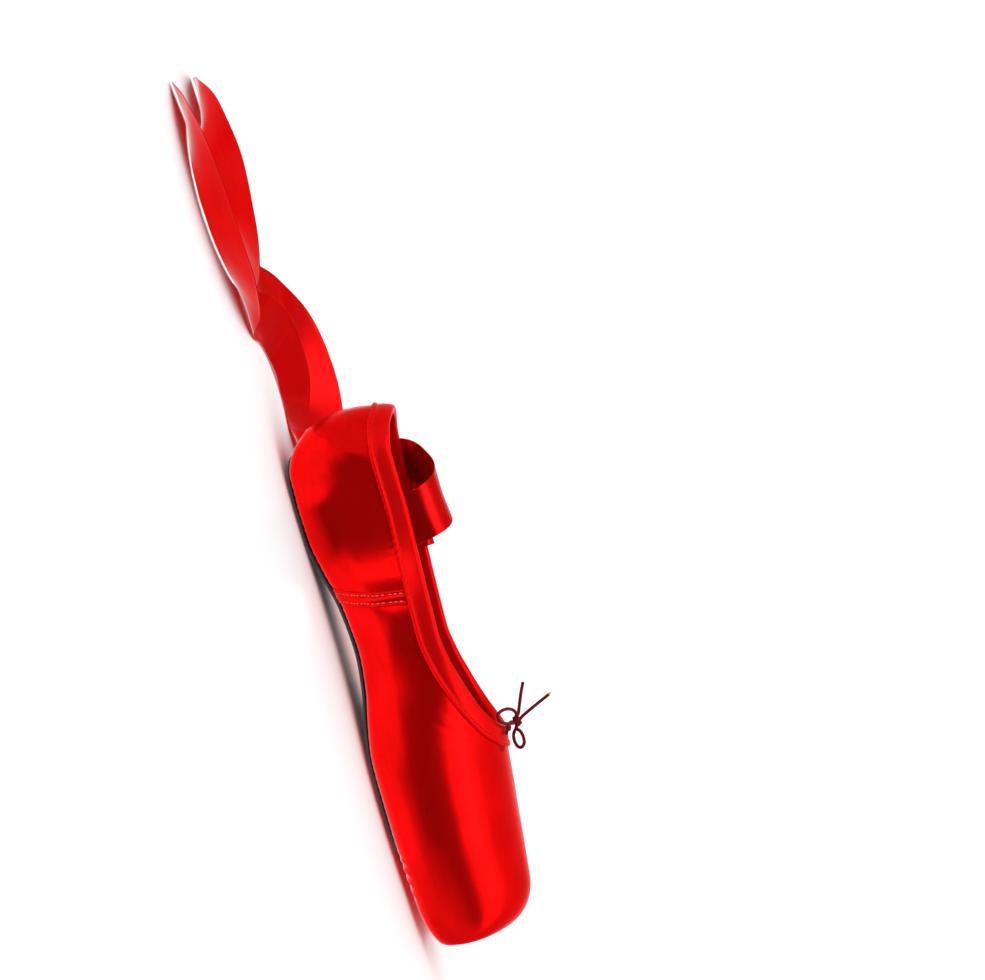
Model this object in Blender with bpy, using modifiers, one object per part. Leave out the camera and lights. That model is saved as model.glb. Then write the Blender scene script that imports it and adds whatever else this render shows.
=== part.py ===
"""Pointe shoe in red satin, standing unbent on its sole.

Metres, +Z up, +X from heel to toe, +Y to the shoe's left. The origin is on the floor under the middle
of the shoe's length. A pointe shoe is straight lasted, so it is the same on both sides.
"""
import math
from functools import lru_cache

import bmesh
import bpy
from mathutils import Vector

MM = 0.001

# Driving sizes, in millimetres
LENGTH = 235.0  # heel to platform, along the floor
GAP = 0.3  # between pieces that touch
LAID_GAP = 0.4  # under what is laid on the upper's curved sides
OUTSOLE_THICK = 2.0
OUTSOLE_TOE_THICK = 1.0  # skived towards its front end
OUTSOLE_SKIVE_START = 184.0
INSOLE_THICK = 2.0
HEEL_BACK_HEIGHT = 30.0  # the heel's furthest point is this far above the floor
HEEL_LOW_ROUND = 24.6  # how far the rounding reaches forward, below that point
HEEL_HIGH_ROUND = 38.0  # and above it
HEEL_SIDE_ROUND = 27.0  # and in plan
TOE_ROUND = 20.0  # length of the rounding from the vamp into the platform
TOE_TOP_DROP = 20.5
TOE_BOTTOM_RISE = 5.2
TOE_SIDE_ROUND = 10.0
TOE_SIDE_INSET = 4.0
PLATFORM_LEAN = math.radians(5.0)  # the platform's top stands ahead of its bottom
LEAN_START = 195.0
LEAN_HEIGHT = 19.0
BINDING_WIDTH = 8.5
BINDING_THICK = 0.8
BINDING_ROLL = 0.5  # extra height of the roll along its lower edge
BINDING_ROLL_WIDTH = 1.6
BINDING_FOLD = 0.6  # where the tape starts to turn over the collar's edge
SEAM_WIDTH = 6.4
SEAM_THICK = 0.6
RIBBON_WIDTH = 22.0
RIBBON_THICK = 0.5
CORD_THICK = 1.5
KNOT_SIZE = (5.1, 4.8, 4.7)
ORIGIN_STATION = LENGTH / 2 + 0.5

# The last, with a row for each section. Station is the distance from the heel's back. Bottom is the
# underside's height, flat is half the width of its flat middle, half_width is at the height called widest,
# top is the ridge of the closed form, and wall is the upper's thickness.
SECTION_COLUMNS = ("station", "half_width", "flat", "bottom", "widest", "top", "wall")
SECTIONS = (
    (0.0, 26.5, 15.0, 2.3, 20.0, 73.0, 1.6),
    (25.0, 27.6, 19.5, 2.3, 20.0, 75.0, 1.6),
    (50.0, 27.6, 19.5, 2.3, 20.0, 75.0, 1.6),
    (65.0, 26.9, 17.5, 4.4, 21.0, 74.0, 1.5),
    (82.0, 26.2, 15.0, 7.8, 23.0, 72.0, 1.5),
    (102.0, 26.8, 14.5, 9.0, 23.8, 68.5, 1.5),
    (118.0, 29.2, 17.0, 7.6, 22.8, 65.0, 1.6),
    (134.0, 33.2, 21.5, 4.5, 20.4, 61.6, 1.9),
    (148.0, 36.8, 25.0, 2.6, 18.9, 59.2, 2.4),
    (158.0, 38.4, 26.0, 2.3, 18.5, 58.1, 2.8),
    (168.0, 39.0, 26.0, 2.3, 18.5, 57.0, 3.0),
    (186.0, 37.4, 24.8, 2.3, 18.5, 54.9, 3.2),
    (200.0, 34.6, 22.6, 2.6, 18.6, 53.2, 3.6),
    (215.0, 30.6, 20.0, 3.1, 18.6, 51.2, 4.2),
    (235.0, 24.6, 16.0, 3.8, 18.6, 49.4, 5.0),
)

# The collar's edge seen from the side
COLLAR_COLUMNS = ("station", "height")
COLLAR = (
    (0.0, 53.6),
    (6.0, 51.2),
    (14.0, 48.4),
    (26.0, 46.8),
    (45.0, 46.9),
    (69.0, 45.7),
    (92.0, 44.6),
    (104.0, 44.2),
    (115.0, 45.5),
    (126.0, 48.1),
    (136.0, 51.0),
    (145.0, 54.6),
    (152.0, 58.6),
    (160.0, 64.0),
)

# Half the width of the outsole, of the opening under it and of the insole
SOLE_COLUMNS = ("station", "outsole", "opening", "insole")
SOLES = (
    (14.0, 17.5, 12.0, 20.0),
    (30.0, 18.6, 13.2, 22.0),
    (50.0, 18.4, 12.8, 22.0),
    (68.0, 15.2, 9.8, 20.0),
    (84.0, 13.0, 8.0, 17.4),
    (102.0, 12.5, 7.5, 17.0),
    (118.0, 14.6, 9.4, 19.6),
    (136.0, 19.4, 13.6, 24.2),
    (154.0, 23.2, 17.2, 28.0),
    (168.0, 24.0, 18.0, 28.6),
    (182.0, 22.6, 16.4, 27.2),
    (200.0, 18.6, 13.0, 24.0),
    (222.0, 16.0, 10.0, 18.0),
)
OUTSOLE_ENDS = (14.0, 199.0)
OPENING_ENDS = (25.0, 189.0)
INSOLE_ENDS = (14.0, 218.0)

# How the faces are spread
HALF_FLAT_STEPS = 2
LOW_CORNER_STEPS = 5
SIDE_STEPS = 9
HALF_STEPS = HALF_FLAT_STEPS + LOW_CORNER_STEPS + SIDE_STEPS
HEEL_STEPS = 6
BODY_STEPS = 20
TOE_STEPS = 5
COLLAR_STEPS = 32  # along each side
SEAM_STEPS = 9
OUTLINE_STEPS = 15
CUT_REACH = 6.0  # how far a cutter stands clear of what it cuts
CEILING = 95.0
SOLE_FLOOR = -5.0
SOLE_CEILING = 16.0

# Where each side seam runs: on the collar's line and on the edge of the underside
SEAM_TOP_STATION = 88.5
SEAM_FOOT_STATION = 75.5
SEAM_DROP = 30.0  # between the two, in height
SEAM_FOOT_TURN = (HALF_FLAT_STEPS + 0.2) / HALF_STEPS

# A ribbon's route: the places of its middle, from where it is sewn inside the quarter to its loose end on the
# floor behind the heel. The left one falls over its own side of the collar. The right one arches over the
# opening and falls outside the left quarter, nearer to the heel. The last three say how its face looks.
RIBBON_COLUMNS = ("x", "y", "z", "face_x", "face_y", "face_z")
RIBBON_RIGHT = (
    (-60.5, -24.4, 24.0, 0.0, 1.0, 0.0),
    (-61.4, -23.2, 31.0, 0.0, 1.0, 0.0),
    (-62.4, -21.2, 38.6, 0.0, 1.0, 0.0),
    (-63.2, -19.9, 44.0, 0.0, 1.0, 0.0),
    (-64.0, -19.4, 49.5, 0.0, 1.0, -0.1),
    (-65.2, -18.2, 55.0, 0.0, 0.95, -0.3),
    (-66.9, -14.8, 59.6, 0.0, 0.7, -0.7),
    (-69.2, -8.8, 62.0, 0.0, 0.3, -0.95),
    (-72.6, -0.8, 62.0, 0.0, -0.05, -1.0),
    (-76.8, 8.2, 60.0, 0.0, -0.3, -0.95),
    (-81.4, 16.4, 56.2, 0.0, -0.5, -0.87),
    (-85.6, 22.8, 52.0, 0.0, -0.68, -0.73),
    (-88.8, 27.6, 46.6, 0.0, -0.9, -0.4),
    (-91.8, 29.8, 38.0, 0.05, -1.0, -0.15),
    (-95.2, 31.0, 27.4, 0.05, -1.0, 0.0),
    (-99.0, 32.6, 15.8, 0.05, -0.97, -0.2),
    (-104.0, 37.0, 5.9, 0.2, -0.75, -0.6),
    (-111.5, 45.2, 1.3, 0.0, 0.0, -1.0),
    (-126.0, 53.0, 4.2, 0.05, 0.30, -0.95),
    (-142.0, 52.0, 7.5, 0.0, 0.60, -0.80),
    (-157.0, 43.0, 7.9, -0.45, 0.45, -0.77),
    (-167.0, 27.0, 6.3, -0.45, 0.18, -0.87),
    (-171.0, 9.0, 1.4, 0.0, 0.0, -1.0),
    (-177.0, -9.0, 5.2, 0.35, -0.18, -0.92),
    (-188.0, -25.0, 7.4, 0.42, -0.40, -0.81),
    (-203.0, -36.0, 7.9, 0.25, -0.58, -0.77),
    (-221.0, -39.0, 7.8, 0.0, -0.62, -0.78),
    (-239.0, -33.0, 6.3, -0.22, -0.45, -0.87),
    (-254.0, -21.0, 3.9, -0.20, -0.18, -0.96),
    (-266.0, -6.0, 1.0, 0.0, 0.0, -1.0),
)
RIBBON_LEFT = (
    (-60.5, 24.4, 24.0, 0.0, -1.0, 0.0),
    (-60.8, 23.2, 31.0, 0.0, -1.0, 0.0),
    (-61.2, 21.2, 38.6, 0.0, -1.0, 0.1),
    (-61.4, 19.9, 44.0, 0.0, -1.0, 0.2),
    (-61.5, 19.9, 47.4, 0.0, -0.9, 0.4),
    (-61.6, 21.9, 49.6, 0.0, -0.3, 1.0),
    (-61.8, 25.0, 49.8, 0.0, 0.4, 0.9),
    (-62.2, 26.9, 47.0, 0.0, 1.0, 0.3),
    (-63.6, 28.6, 39.6, 0.0, 1.0, 0.2),
    (-66.6, 29.2, 30.0, 0.0, 1.0, 0.0),
    (-70.6, 30.4, 16.0, 0.0, 1.0, 0.1),
    (-73.6, 33.6, 5.6, 0.0, 0.8, 0.6),
    (-77.0, 42.0, 1.0, 0.0, 0.2, 1.0),
    (-82.0, 60.0, 1.8, 0.0, 0.0, 1.0),
    (-94.0, 80.0, 5.4, -0.38, -0.19, 0.90),
    (-114.0, 96.0, 8.6, -0.40, -0.58, 0.71),
    (-139.0, 103.0, 10.2, 0.0, -0.85, 0.53),
    (-162.0, 95.0, 9.3, 0.40, -0.65, 0.64),
    (-179.0, 77.0, 5.4, 0.38, -0.17, 0.91),
    (-190.0, 55.0, 1.0, 0.0, 0.0, 1.0),
    (-200.0, 33.0, 5.4, -0.40, 0.08, 0.91),
    (-216.0, 16.0, 8.6, -0.48, 0.52, 0.71),
    (-238.0, 11.0, 9.9, 0.0, 0.82, 0.57),
    (-258.0, 20.0, 7.9, 0.45, 0.45, 0.77),
    (-270.0, 38.0, 3.6, 0.26, 0.03, 0.97),
    (-275.0, 60.0, 1.0, 0.0, 0.0, 1.0),
)

# The drawstring's knot over the throat, and the routes of its strands, loops and ends
KNOT_PLACE = (33.0, -1.0, 65.0)
DRAWSTRING = {
    "strand_right": (
        (33.0, -2.0, 62.3), (33.4, -3.6, 60.9), (34.4, -5.8, 60.4), (35.6, -7.8, 60.1), (36.6, -9.4, 59.4),
    ),
    "strand_left": (
        (33.1, 0.6, 62.6), (33.5, 2.6, 61.2), (34.6, 5.0, 60.6), (35.9, 7.0, 60.2), (36.8, 8.5, 59.6),
    ),
    "loop_front": (
        (35.9, -1.9, 63.9), (37.8, -2.7, 65.2), (40.4, -3.0, 65.7), (43.2, -2.6, 65.2), (44.6, -1.6, 63.4),
        (43.6, -0.8, 61.9), (41.0, -0.4, 61.3), (38.2, 0.0, 61.8), (36.0, 0.2, 63.5),
    ),
    "loop_back": (
        (30.4, -2.6, 65.6), (28.2, -4.4, 65.2), (26.6, -7.4, 63.4), (26.2, -11.0, 60.9), (27.2, -13.9, 58.9),
        (29.4, -14.2, 58.6), (31.2, -12.2, 59.5), (32.4, -9.2, 61.0), (33.0, -6.2, 62.6), (33.2, -4.0, 63.7),
    ),
    "end_long": ((31.9, -1.5, 67.5), (30.0, -2.4, 71.5), (27.6, -3.6, 77.0), (25.0, -5.0, 83.0)),
    "end_short": ((30.5, -0.4, 66.1), (26.6, 0.7, 67.8), (22.0, 2.0, 69.8), (17.6, 3.0, 72.0)),
}
CORD_STEP = 1.5  # between the points of a cord's curve
RIBBON_STEP = 6.5
KNOT_SEGMENTS, KNOT_RINGS = 12, 8


def shades(red, green, blue):
    """A colour's linear values from the usual 0 to 255 ones."""
    parts = [value / 255 for value in (red, green, blue)]
    linear = [((part + 0.055) / 1.055) ** 2.4 if part > 0.04045 else part / 12.92 for part in parts]
    return (*linear, 1.0)


def material(name, colour, roughness):
    made = bpy.data.materials.new(name)
    made.use_nodes = True
    shader = made.node_tree.nodes["Principled BSDF"]
    shader.inputs["Base Color"].default_value = colour
    shader.inputs["Roughness"].default_value = roughness
    shader.inputs["Metallic"].default_value = 0.0
    made.diffuse_color = colour
    return made


def new_collection(name):
    made = bpy.data.collections.new(name)
    bpy.context.scene.collection.children.link(made)
    return made


def add_object(name, bm, collection, finish=None):
    """Turns a bmesh into a smooth-shaded object of a collection."""
    mesh = bpy.data.meshes.new(name)
    bm.to_mesh(mesh)
    bm.free()
    mesh.shade_smooth()
    mesh.set_sharp_from_angle(angle=math.radians(40))
    made = bpy.data.objects.new(name, mesh)
    collection.objects.link(made)
    if finish is None:
        made.hide_render = True
        made.display_type = "WIRE"
    else:
        mesh.materials.append(finish)
    return made


def combine(target, tool, operation):
    step = target.modifiers.new(f"{operation.lower()}_{tool.name}", "BOOLEAN")
    step.object = tool
    step.operation = operation
    step.solver = "EXACT"


def smooth(table, columns, name, station):
    """A column's value between its rows, on a smooth curve that never overshoots a row."""
    column = columns.index(name)
    rows = len(table)
    first = 0
    while first < rows - 2 and station > table[first + 1][0]:
        first += 1
    slopes = []
    for row in range(rows - 1):
        run = table[row + 1][0] - table[row][0]
        slopes.append((table[row + 1][column] - table[row][column]) / run)

    def tangent(row):
        if row in (0, rows - 1):
            return slopes[min(row, rows - 2)]
        before, after = slopes[row - 1], slopes[row]
        return 0.0 if before * after <= 0 else 2 * before * after / (before + after)

    run = table[first + 1][0] - table[first][0]
    part = (station - table[first][0]) / run
    start, end = table[first][column], table[first + 1][column]
    lift = (end - start) * part * part * (3 - 2 * part)
    lift += tangent(first) * run * part * (1 - part) ** 2
    lift -= tangent(first + 1) * run * part * part * (1 - part)
    return start + lift


def rounding(distance, reach):
    """A quarter ellipse: 0 at the end of a form, 1 from reach onwards."""
    if distance >= reach:
        return 1.0
    return math.sqrt(max(0.0, 1 - ((reach - distance) / reach) ** 2))


@lru_cache(maxsize=None)
def section(station):
    """The last's section at a station, with the heel's and the toe's roundings."""
    values = {name: smooth(SECTIONS, SECTION_COLUMNS, name, station) for name in SECTION_COLUMNS[1:]}
    low = rounding(station, HEEL_LOW_ROUND)
    high = rounding(station, HEEL_HIGH_ROUND)
    side = rounding(station, HEEL_SIDE_ROUND)
    toe = 1 - rounding(LENGTH - station, TOE_ROUND)
    toe_side = 1 - rounding(LENGTH - station, TOE_SIDE_ROUND)
    values["bottom"] = HEEL_BACK_HEIGHT + (values["bottom"] - HEEL_BACK_HEIGHT) * low
    values["widest"] = HEEL_BACK_HEIGHT + (values["widest"] - HEEL_BACK_HEIGHT) * low
    values["top"] = HEEL_BACK_HEIGHT + (values["top"] - HEEL_BACK_HEIGHT) * high
    values["flat"] *= min(low, side)
    values["half_width"] *= side
    values["bottom"] += TOE_BOTTOM_RISE * toe
    values["top"] -= TOE_TOP_DROP * toe
    values["half_width"] -= TOE_SIDE_INSET * toe_side
    values["flat"] -= TOE_SIDE_INSET * toe_side
    return values


def last_point(station, turn):
    """A point of the last in millimetres. Turn is 0 under the sole, 1 on the left side's way up to the
    ridge, and -1 on the right side's."""
    form = section(station)
    part = abs(turn) * HALF_STEPS
    if part <= HALF_FLAT_STEPS:
        across = form["flat"] * part / HALF_FLAT_STEPS
        height = form["bottom"]
    elif part <= HALF_FLAT_STEPS + LOW_CORNER_STEPS:
        angle = math.pi / 2 * (part - HALF_FLAT_STEPS) / LOW_CORNER_STEPS
        across = form["flat"] + (form["half_width"] - form["flat"]) * math.sin(angle)
        height = form["widest"] - (form["widest"] - form["bottom"]) * math.cos(angle)
    else:
        angle = math.pi / 2 * (part - HALF_FLAT_STEPS - LOW_CORNER_STEPS) / SIDE_STEPS
        across = form["half_width"] * math.cos(angle)
        height = form["widest"] + (form["top"] - form["widest"]) * math.sin(angle)
    lean = min(1.0, max(0.0, (station - LEAN_START) / (LENGTH - LEAN_START)))
    lean = lean * lean * (3 - 2 * lean)
    forward = station + math.tan(PLATFORM_LEAN) * lean * (height - LEAN_HEIGHT)
    return Vector((forward, math.copysign(across, turn), height))


def slopes_at(station, turn):
    """How the last's point moves with the station and with the turn."""
    step, turn_step = 0.01, 0.0005
    back, ahead = max(0.0, station - step), min(LENGTH, station + step)
    along = (last_point(ahead, turn) - last_point(back, turn)) / (ahead - back)
    low, high = turn - turn_step, turn + turn_step
    if high > 1:
        across = last_point(station, high - 2) - last_point(station, low)
    else:
        across = last_point(station, high) - last_point(station, low)
    return along, across / (2 * turn_step)


def outward(station, turn):
    along, across = slopes_at(station, turn)
    return across.cross(along).normalized()


def grown_point(station, turn, grow):
    """The last's point moved outwards, square to its surface."""
    return last_point(station, turn) + outward(station, turn) * grow


def in_metres(point):
    return Vector(((point.x - ORIGIN_STATION) * MM, point.y * MM, point.z * MM))


def wall_at(station):
    return section(station)["wall"]


def outside(amount):
    """How far a form stands outside the upper's outer face."""
    return lambda station: amount


def inside(amount):
    """The same, measured inwards from the upper's inner face."""
    return lambda station: -wall_at(station) - amount


def outsole_face(station):
    """The outsole's lower face, which comes closer to the upper towards its front end."""
    skive = (station - OUTSOLE_SKIVE_START) / (OUTSOLE_ENDS[1] - OUTSOLE_SKIVE_START)
    skive = min(1.0, max(0.0, skive))
    return GAP + OUTSOLE_THICK + (OUTSOLE_TOE_THICK - OUTSOLE_THICK) * skive


def form_stations():
    heel = [
        HEEL_LOW_ROUND * (1 - math.cos(math.pi / 2 * step / HEEL_STEPS))
        for step in range(1, HEEL_STEPS)
    ]
    toe_start = LENGTH - TOE_ROUND
    body = [
        HEEL_LOW_ROUND + (toe_start - HEEL_LOW_ROUND) * step / BODY_STEPS
        for step in range(BODY_STEPS)
    ]
    toe = [
        toe_start + TOE_ROUND * math.sin(math.pi / 2 * step / TOE_STEPS)
        for step in range(TOE_STEPS + 1)
    ]
    return heel + body + toe


def close_ring_ends(bm, rings):
    bm.faces.new(reversed(rings[0]))
    bm.faces.new(rings[-1])


def skin_rings(bm, rings, around=True):
    """Joins each ring of corners to the next with quads."""
    for ring, following in zip(rings, rings[1:]):
        count = len(ring)
        for corner in range(count if around else count - 1):
            other = (corner + 1) % count
            bm.faces.new((ring[corner], ring[other], following[other], following[corner]))


def last_form(name, grow, collection, finish=None):
    """A closed last, grown by an amount for each station: rings, a point at the heel and a flat platform."""
    bm = bmesh.new()
    turns = [step / HALF_STEPS for step in range(-HALF_STEPS + 1, HALF_STEPS + 1)]
    rings = []
    for station in form_stations():
        reach = grow(station)
        points = [grown_point(station, turn, reach) for turn in turns]
        rings.append([bm.verts.new(in_metres(point)) for point in points])
    skin_rings(bm, rings)
    heel = bm.verts.new(in_metres(Vector((-grow(0.0), 0.0, HEEL_BACK_HEIGHT))))
    platform = bm.verts.new(sum((corner.co for corner in rings[-1]), Vector()) / len(rings[-1]))
    for pole, ring in ((heel, rings[0]), (platform, rings[-1])):
        for corner, other in zip(ring, ring[1:] + ring[:1]):
            bm.faces.new((pole, corner, other))
    bmesh.ops.triangulate(bm, faces=bm.faces)
    bmesh.ops.recalc_face_normals(bm, faces=bm.faces)
    return add_object(name, bm, collection, finish)


def sole_outline(column, ends, inset=0.0):
    """Half an outline is read from its table, rounded at both ends, and mirrored."""
    start, end = ends[0] + inset, ends[1] - inset
    left = []
    for step in range(1, 2 * OUTLINE_STEPS):
        station = start + (end - start) * (1 - math.cos(math.pi * step / (2 * OUTLINE_STEPS))) / 2
        width = smooth(SOLES, SOLE_COLUMNS, column, station) - inset
        width *= min(rounding(station - start, width), rounding(end - station, width))
        left.append((station, width))
    right = [(station, -width) for station, width in reversed(left)]
    return [(start, 0.0)] + left + [(end, 0.0)] + right


def prism(name, outline, bottom, top, collection, finish=None):
    """A flat curve, filled and given a height, as a closed mesh."""
    curve = bpy.data.curves.new(name + "_outline", "CURVE")
    curve.dimensions = "2D"
    curve.fill_mode = "BOTH"
    curve.extrude = (top - bottom) / 2 * MM
    spline = curve.splines.new("POLY")
    spline.points.add(len(outline) - 1)
    for corner, (forward, across) in zip(spline.points, outline):
        corner.co = ((forward - ORIGIN_STATION) * MM, across * MM, 0.0, 1.0)
    spline.use_cyclic_u = True
    guide = bpy.data.objects.new(name + "_outline", curve)
    bpy.context.scene.collection.objects.link(guide)
    bpy.context.view_layer.update()
    mesh = bpy.data.meshes.new_from_object(guide.evaluated_get(bpy.context.evaluated_depsgraph_get()))
    bm = bmesh.new()
    bm.from_mesh(mesh)
    bpy.data.objects.remove(guide)
    bpy.data.meshes.remove(mesh)
    bmesh.ops.remove_doubles(bm, verts=bm.verts, dist=MM / 1000)
    bmesh.ops.translate(bm, verts=bm.verts, vec=(0, 0, (top + bottom) / 2 * MM))
    bmesh.ops.recalc_face_normals(bm, faces=bm.faces)
    return add_object(name, bm, collection, finish)


def collar_turn(station):
    """The turn at which the collar's edge crosses a station, on either side."""
    form = section(station)
    height = smooth(COLLAR, COLLAR_COLUMNS, "height", station)
    sine = (height - form["widest"]) / (form["top"] - form["widest"])
    side = math.asin(min(1.0, max(0.0, sine))) / (math.pi / 2)
    return (HALF_FLAT_STEPS + LOW_CORNER_STEPS + SIDE_STEPS * side) / HALF_STEPS


def ridge_crossing(low, high, rising):
    """The station where the collar's edge meets the ridge, by halving."""
    for _ in range(40):
        middle = (low + high) / 2
        above = smooth(COLLAR, COLLAR_COLUMNS, "height", middle) > section(middle)["top"]
        if above == rising:
            high = middle
        else:
            low = middle
    return (low + high) / 2


def collar_path():
    """The collar's edge as pairs of station and turn, once round from the heel: left side, then right."""
    back = ridge_crossing(0.5, 30.0, False)
    throat = ridge_crossing(140.0, 165.0, True)
    left = []
    for step in range(1, COLLAR_STEPS):
        station = back + (throat - back) * (1 - math.cos(math.pi * step / COLLAR_STEPS)) / 2
        left.append((station, collar_turn(station)))
    right = [(station, -turn) for station, turn in reversed(left)]
    return [(back, 1.0)] + left + [(throat, 1.0)] + right


def walk(station, turn, heading, distance):
    """Goes a distance over the last's surface, and gives the station and the turn where it ends."""
    steps = max(1, math.ceil(abs(distance)))
    pace = distance / steps
    for _ in range(steps):
        along, across = slopes_at(station, turn)
        normal = across.cross(along).normalized()
        level = (heading - normal * heading.dot(normal)).normalized() * pace
        a, b, c = along.dot(along), along.dot(across), across.dot(across)
        p, q = level.dot(along), level.dot(across)
        spread = a * c - b * b
        station += (p * c - q * b) / spread
        turn += (a * q - b * p) / spread
        if turn > 1:
            turn -= 2
        elif turn < -1:
            turn += 2
    return station, turn


def laid_strip(name, path, profile, closed, collection, finish):
    """Sweeps a profile along a path on the last. A profile row is the distance to the path's side, and a
    function that gives the height there, outside or inside the wall."""
    bm = bmesh.new()
    rings = []
    places = [last_point(*place) for place in path]
    count = len(path)
    for index, (station, turn) in enumerate(path):
        before = places[index - 1] if closed or index else places[index]
        after = places[(index + 1) % count] if closed or index < count - 1 else places[index]
        heading = outward(station, turn).cross(after - before).normalized()
        ring = []
        for distance, grow in profile:
            there = walk(station, turn, heading, distance) if distance else (station, turn)
            ring.append(bm.verts.new(in_metres(grown_point(*there, grow(there[0])))))
        rings.append(ring)
    skin_rings(bm, rings + [rings[0]] if closed else rings)
    if not closed:
        close_ring_ends(bm, rings)
    bmesh.ops.triangulate(bm, faces=bm.faces)
    bmesh.ops.recalc_face_normals(bm, faces=bm.faces)
    return add_object(name, bm, collection, finish)


def collar_cutter(collection):
    """Everything above the collar's edge, cut square to the wall."""
    bm = bmesh.new()
    path = collar_path()
    levels = (inside(CUT_REACH), inside(0.0), outside(0.0), outside(CUT_REACH))
    rings = []
    for grow in levels:
        points = [grown_point(station, turn, grow(station)) for station, turn in path]
        rings.append([bm.verts.new(in_metres(point)) for point in points])
    rings.append([bm.verts.new((corner.co.x, corner.co.y, CEILING * MM)) for corner in rings[-1]])
    skin_rings(bm, rings)
    bm.faces.new(rings[-1])
    floor = rings[0]
    count = len(floor)
    for step in range(count // 2):
        corners = [floor[step], floor[step + 1], floor[count - step - 1], floor[(count - step) % count]]
        bm.faces.new(list(dict.fromkeys(corners)))
    bmesh.ops.triangulate(bm, faces=bm.faces)
    bmesh.ops.recalc_face_normals(bm, faces=bm.faces)
    return add_object("collar_cutter", bm, collection)


def build_upper(parts, cutters, finish):
    upper = last_form("upper", outside(0.0), parts, finish)
    combine(upper, last_form("upper_hollow", inside(0.0), cutters), "DIFFERENCE")
    combine(upper, collar_cutter(cutters), "DIFFERENCE")
    opening = prism("sole_opening", sole_outline("opening", OPENING_ENDS), SOLE_FLOOR, SOLE_CEILING, cutters)
    combine(upper, opening, "DIFFERENCE")


def build_outsole(parts, cutters, finish):
    outline = sole_outline("outsole", OUTSOLE_ENDS)
    outsole = prism("outsole", outline, SOLE_FLOOR, SOLE_CEILING, parts, finish)
    combine(outsole, last_form("outsole_lower_face", outsole_face, cutters), "INTERSECT")
    combine(outsole, last_form("outsole_upper_face", outside(GAP), cutters), "DIFFERENCE")


def build_insole(parts, cutters, finish):
    outline = sole_outline("insole", INSOLE_ENDS)
    insole = prism("insole", outline, SOLE_FLOOR, SOLE_CEILING + INSOLE_THICK, parts, finish)
    combine(insole, last_form("insole_lower_face", inside(GAP), cutters), "INTERSECT")
    filler_outline = sole_outline("opening", OPENING_ENDS, GAP)
    filler = prism("insole_middle", filler_outline, SOLE_FLOOR, SOLE_CEILING, cutters)
    combine(filler, last_form("insole_middle_face", outside(0.0), cutters), "INTERSECT")
    combine(insole, filler, "UNION")
    hollow = last_form("insole_upper_face", inside(GAP), cutters)
    hollow.location.z = INSOLE_THICK * MM
    combine(insole, hollow, "DIFFERENCE")


def build_binding(parts, finish):
    width, thick = BINDING_WIDTH, BINDING_THICK
    profile = (
        (width, outside(LAID_GAP)),
        (width, outside(LAID_GAP + thick + BINDING_ROLL)),
        (width - BINDING_ROLL_WIDTH, outside(LAID_GAP + thick + BINDING_ROLL)),
        (width - BINDING_ROLL_WIDTH * 1.5, outside(LAID_GAP + thick)),
        (BINDING_FOLD, outside(LAID_GAP + thick)),
        (-GAP - thick, outside(LAID_GAP * 0.5)),
        (-GAP - thick, inside(LAID_GAP * 0.5)),
        (BINDING_FOLD, inside(LAID_GAP + thick)),
        (width, inside(LAID_GAP + thick)),
        (width, inside(LAID_GAP)),
        (-GAP, inside(LAID_GAP)),
        (-GAP, outside(LAID_GAP)),
    )
    laid_strip("binding", collar_path(), profile, True, parts, finish)


def smooth_route(points, step):
    """Points about a step apart on a smooth curve through a route's own points."""
    ends = [points[0] * 2 - points[1]] + list(points) + [points[-1] * 2 - points[-2]]
    route = []
    for before, start, end, after in zip(ends, ends[1:], ends[2:], ends[3:]):
        pieces = max(1, round((end - start).length / step))
        for piece in range(pieces):
            part = piece / pieces
            lead = (end - before) * (part * (1 - part) ** 2 / 2)
            trail = (after - start) * (part * part * (1 - part) / 2)
            route.append(start + (end - start) * part * part * (3 - 2 * part) + lead - trail)
    return route + [points[-1]]


def build_side_seams(parts, cutters, finish):
    clear_of_binding = (
        (BINDING_WIDTH + GAP, outside(-1.0)),
        (BINDING_WIDTH + GAP, outside(CUT_REACH)),
        (-2.0, outside(CUT_REACH)),
        (-2.0, outside(-1.0)),
    )
    cutter = laid_strip("seam_end", collar_path(), clear_of_binding, True, cutters, None)
    for side, sign in (("left", 1), ("right", -1)):
        top = collar_turn(SEAM_TOP_STATION)
        heading = Vector((SEAM_FOOT_STATION - SEAM_TOP_STATION, 0, -SEAM_DROP))
        start = walk(SEAM_TOP_STATION, top, heading, BINDING_WIDTH / 2)
        path = []
        for step in range(SEAM_STEPS + 1):
            part = step / SEAM_STEPS
            station = start[0] + (SEAM_FOOT_STATION - start[0]) * part
            path.append((station, sign * (start[1] + (SEAM_FOOT_TURN - start[1]) * part)))
        half = SEAM_WIDTH / 2
        profile = (
            (-half, outside(LAID_GAP)),
            (-half, outside(LAID_GAP + SEAM_THICK * 0.6)),
            (-half * 0.5, outside(LAID_GAP + SEAM_THICK)),
            (half * 0.5, outside(LAID_GAP + SEAM_THICK)),
            (half, outside(LAID_GAP + SEAM_THICK * 0.6)),
            (half, outside(LAID_GAP)),
        )
        seam = laid_strip(f"side_seam_{side}", path, profile, False, parts, finish)
        combine(seam, cutter, "DIFFERENCE")


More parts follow.
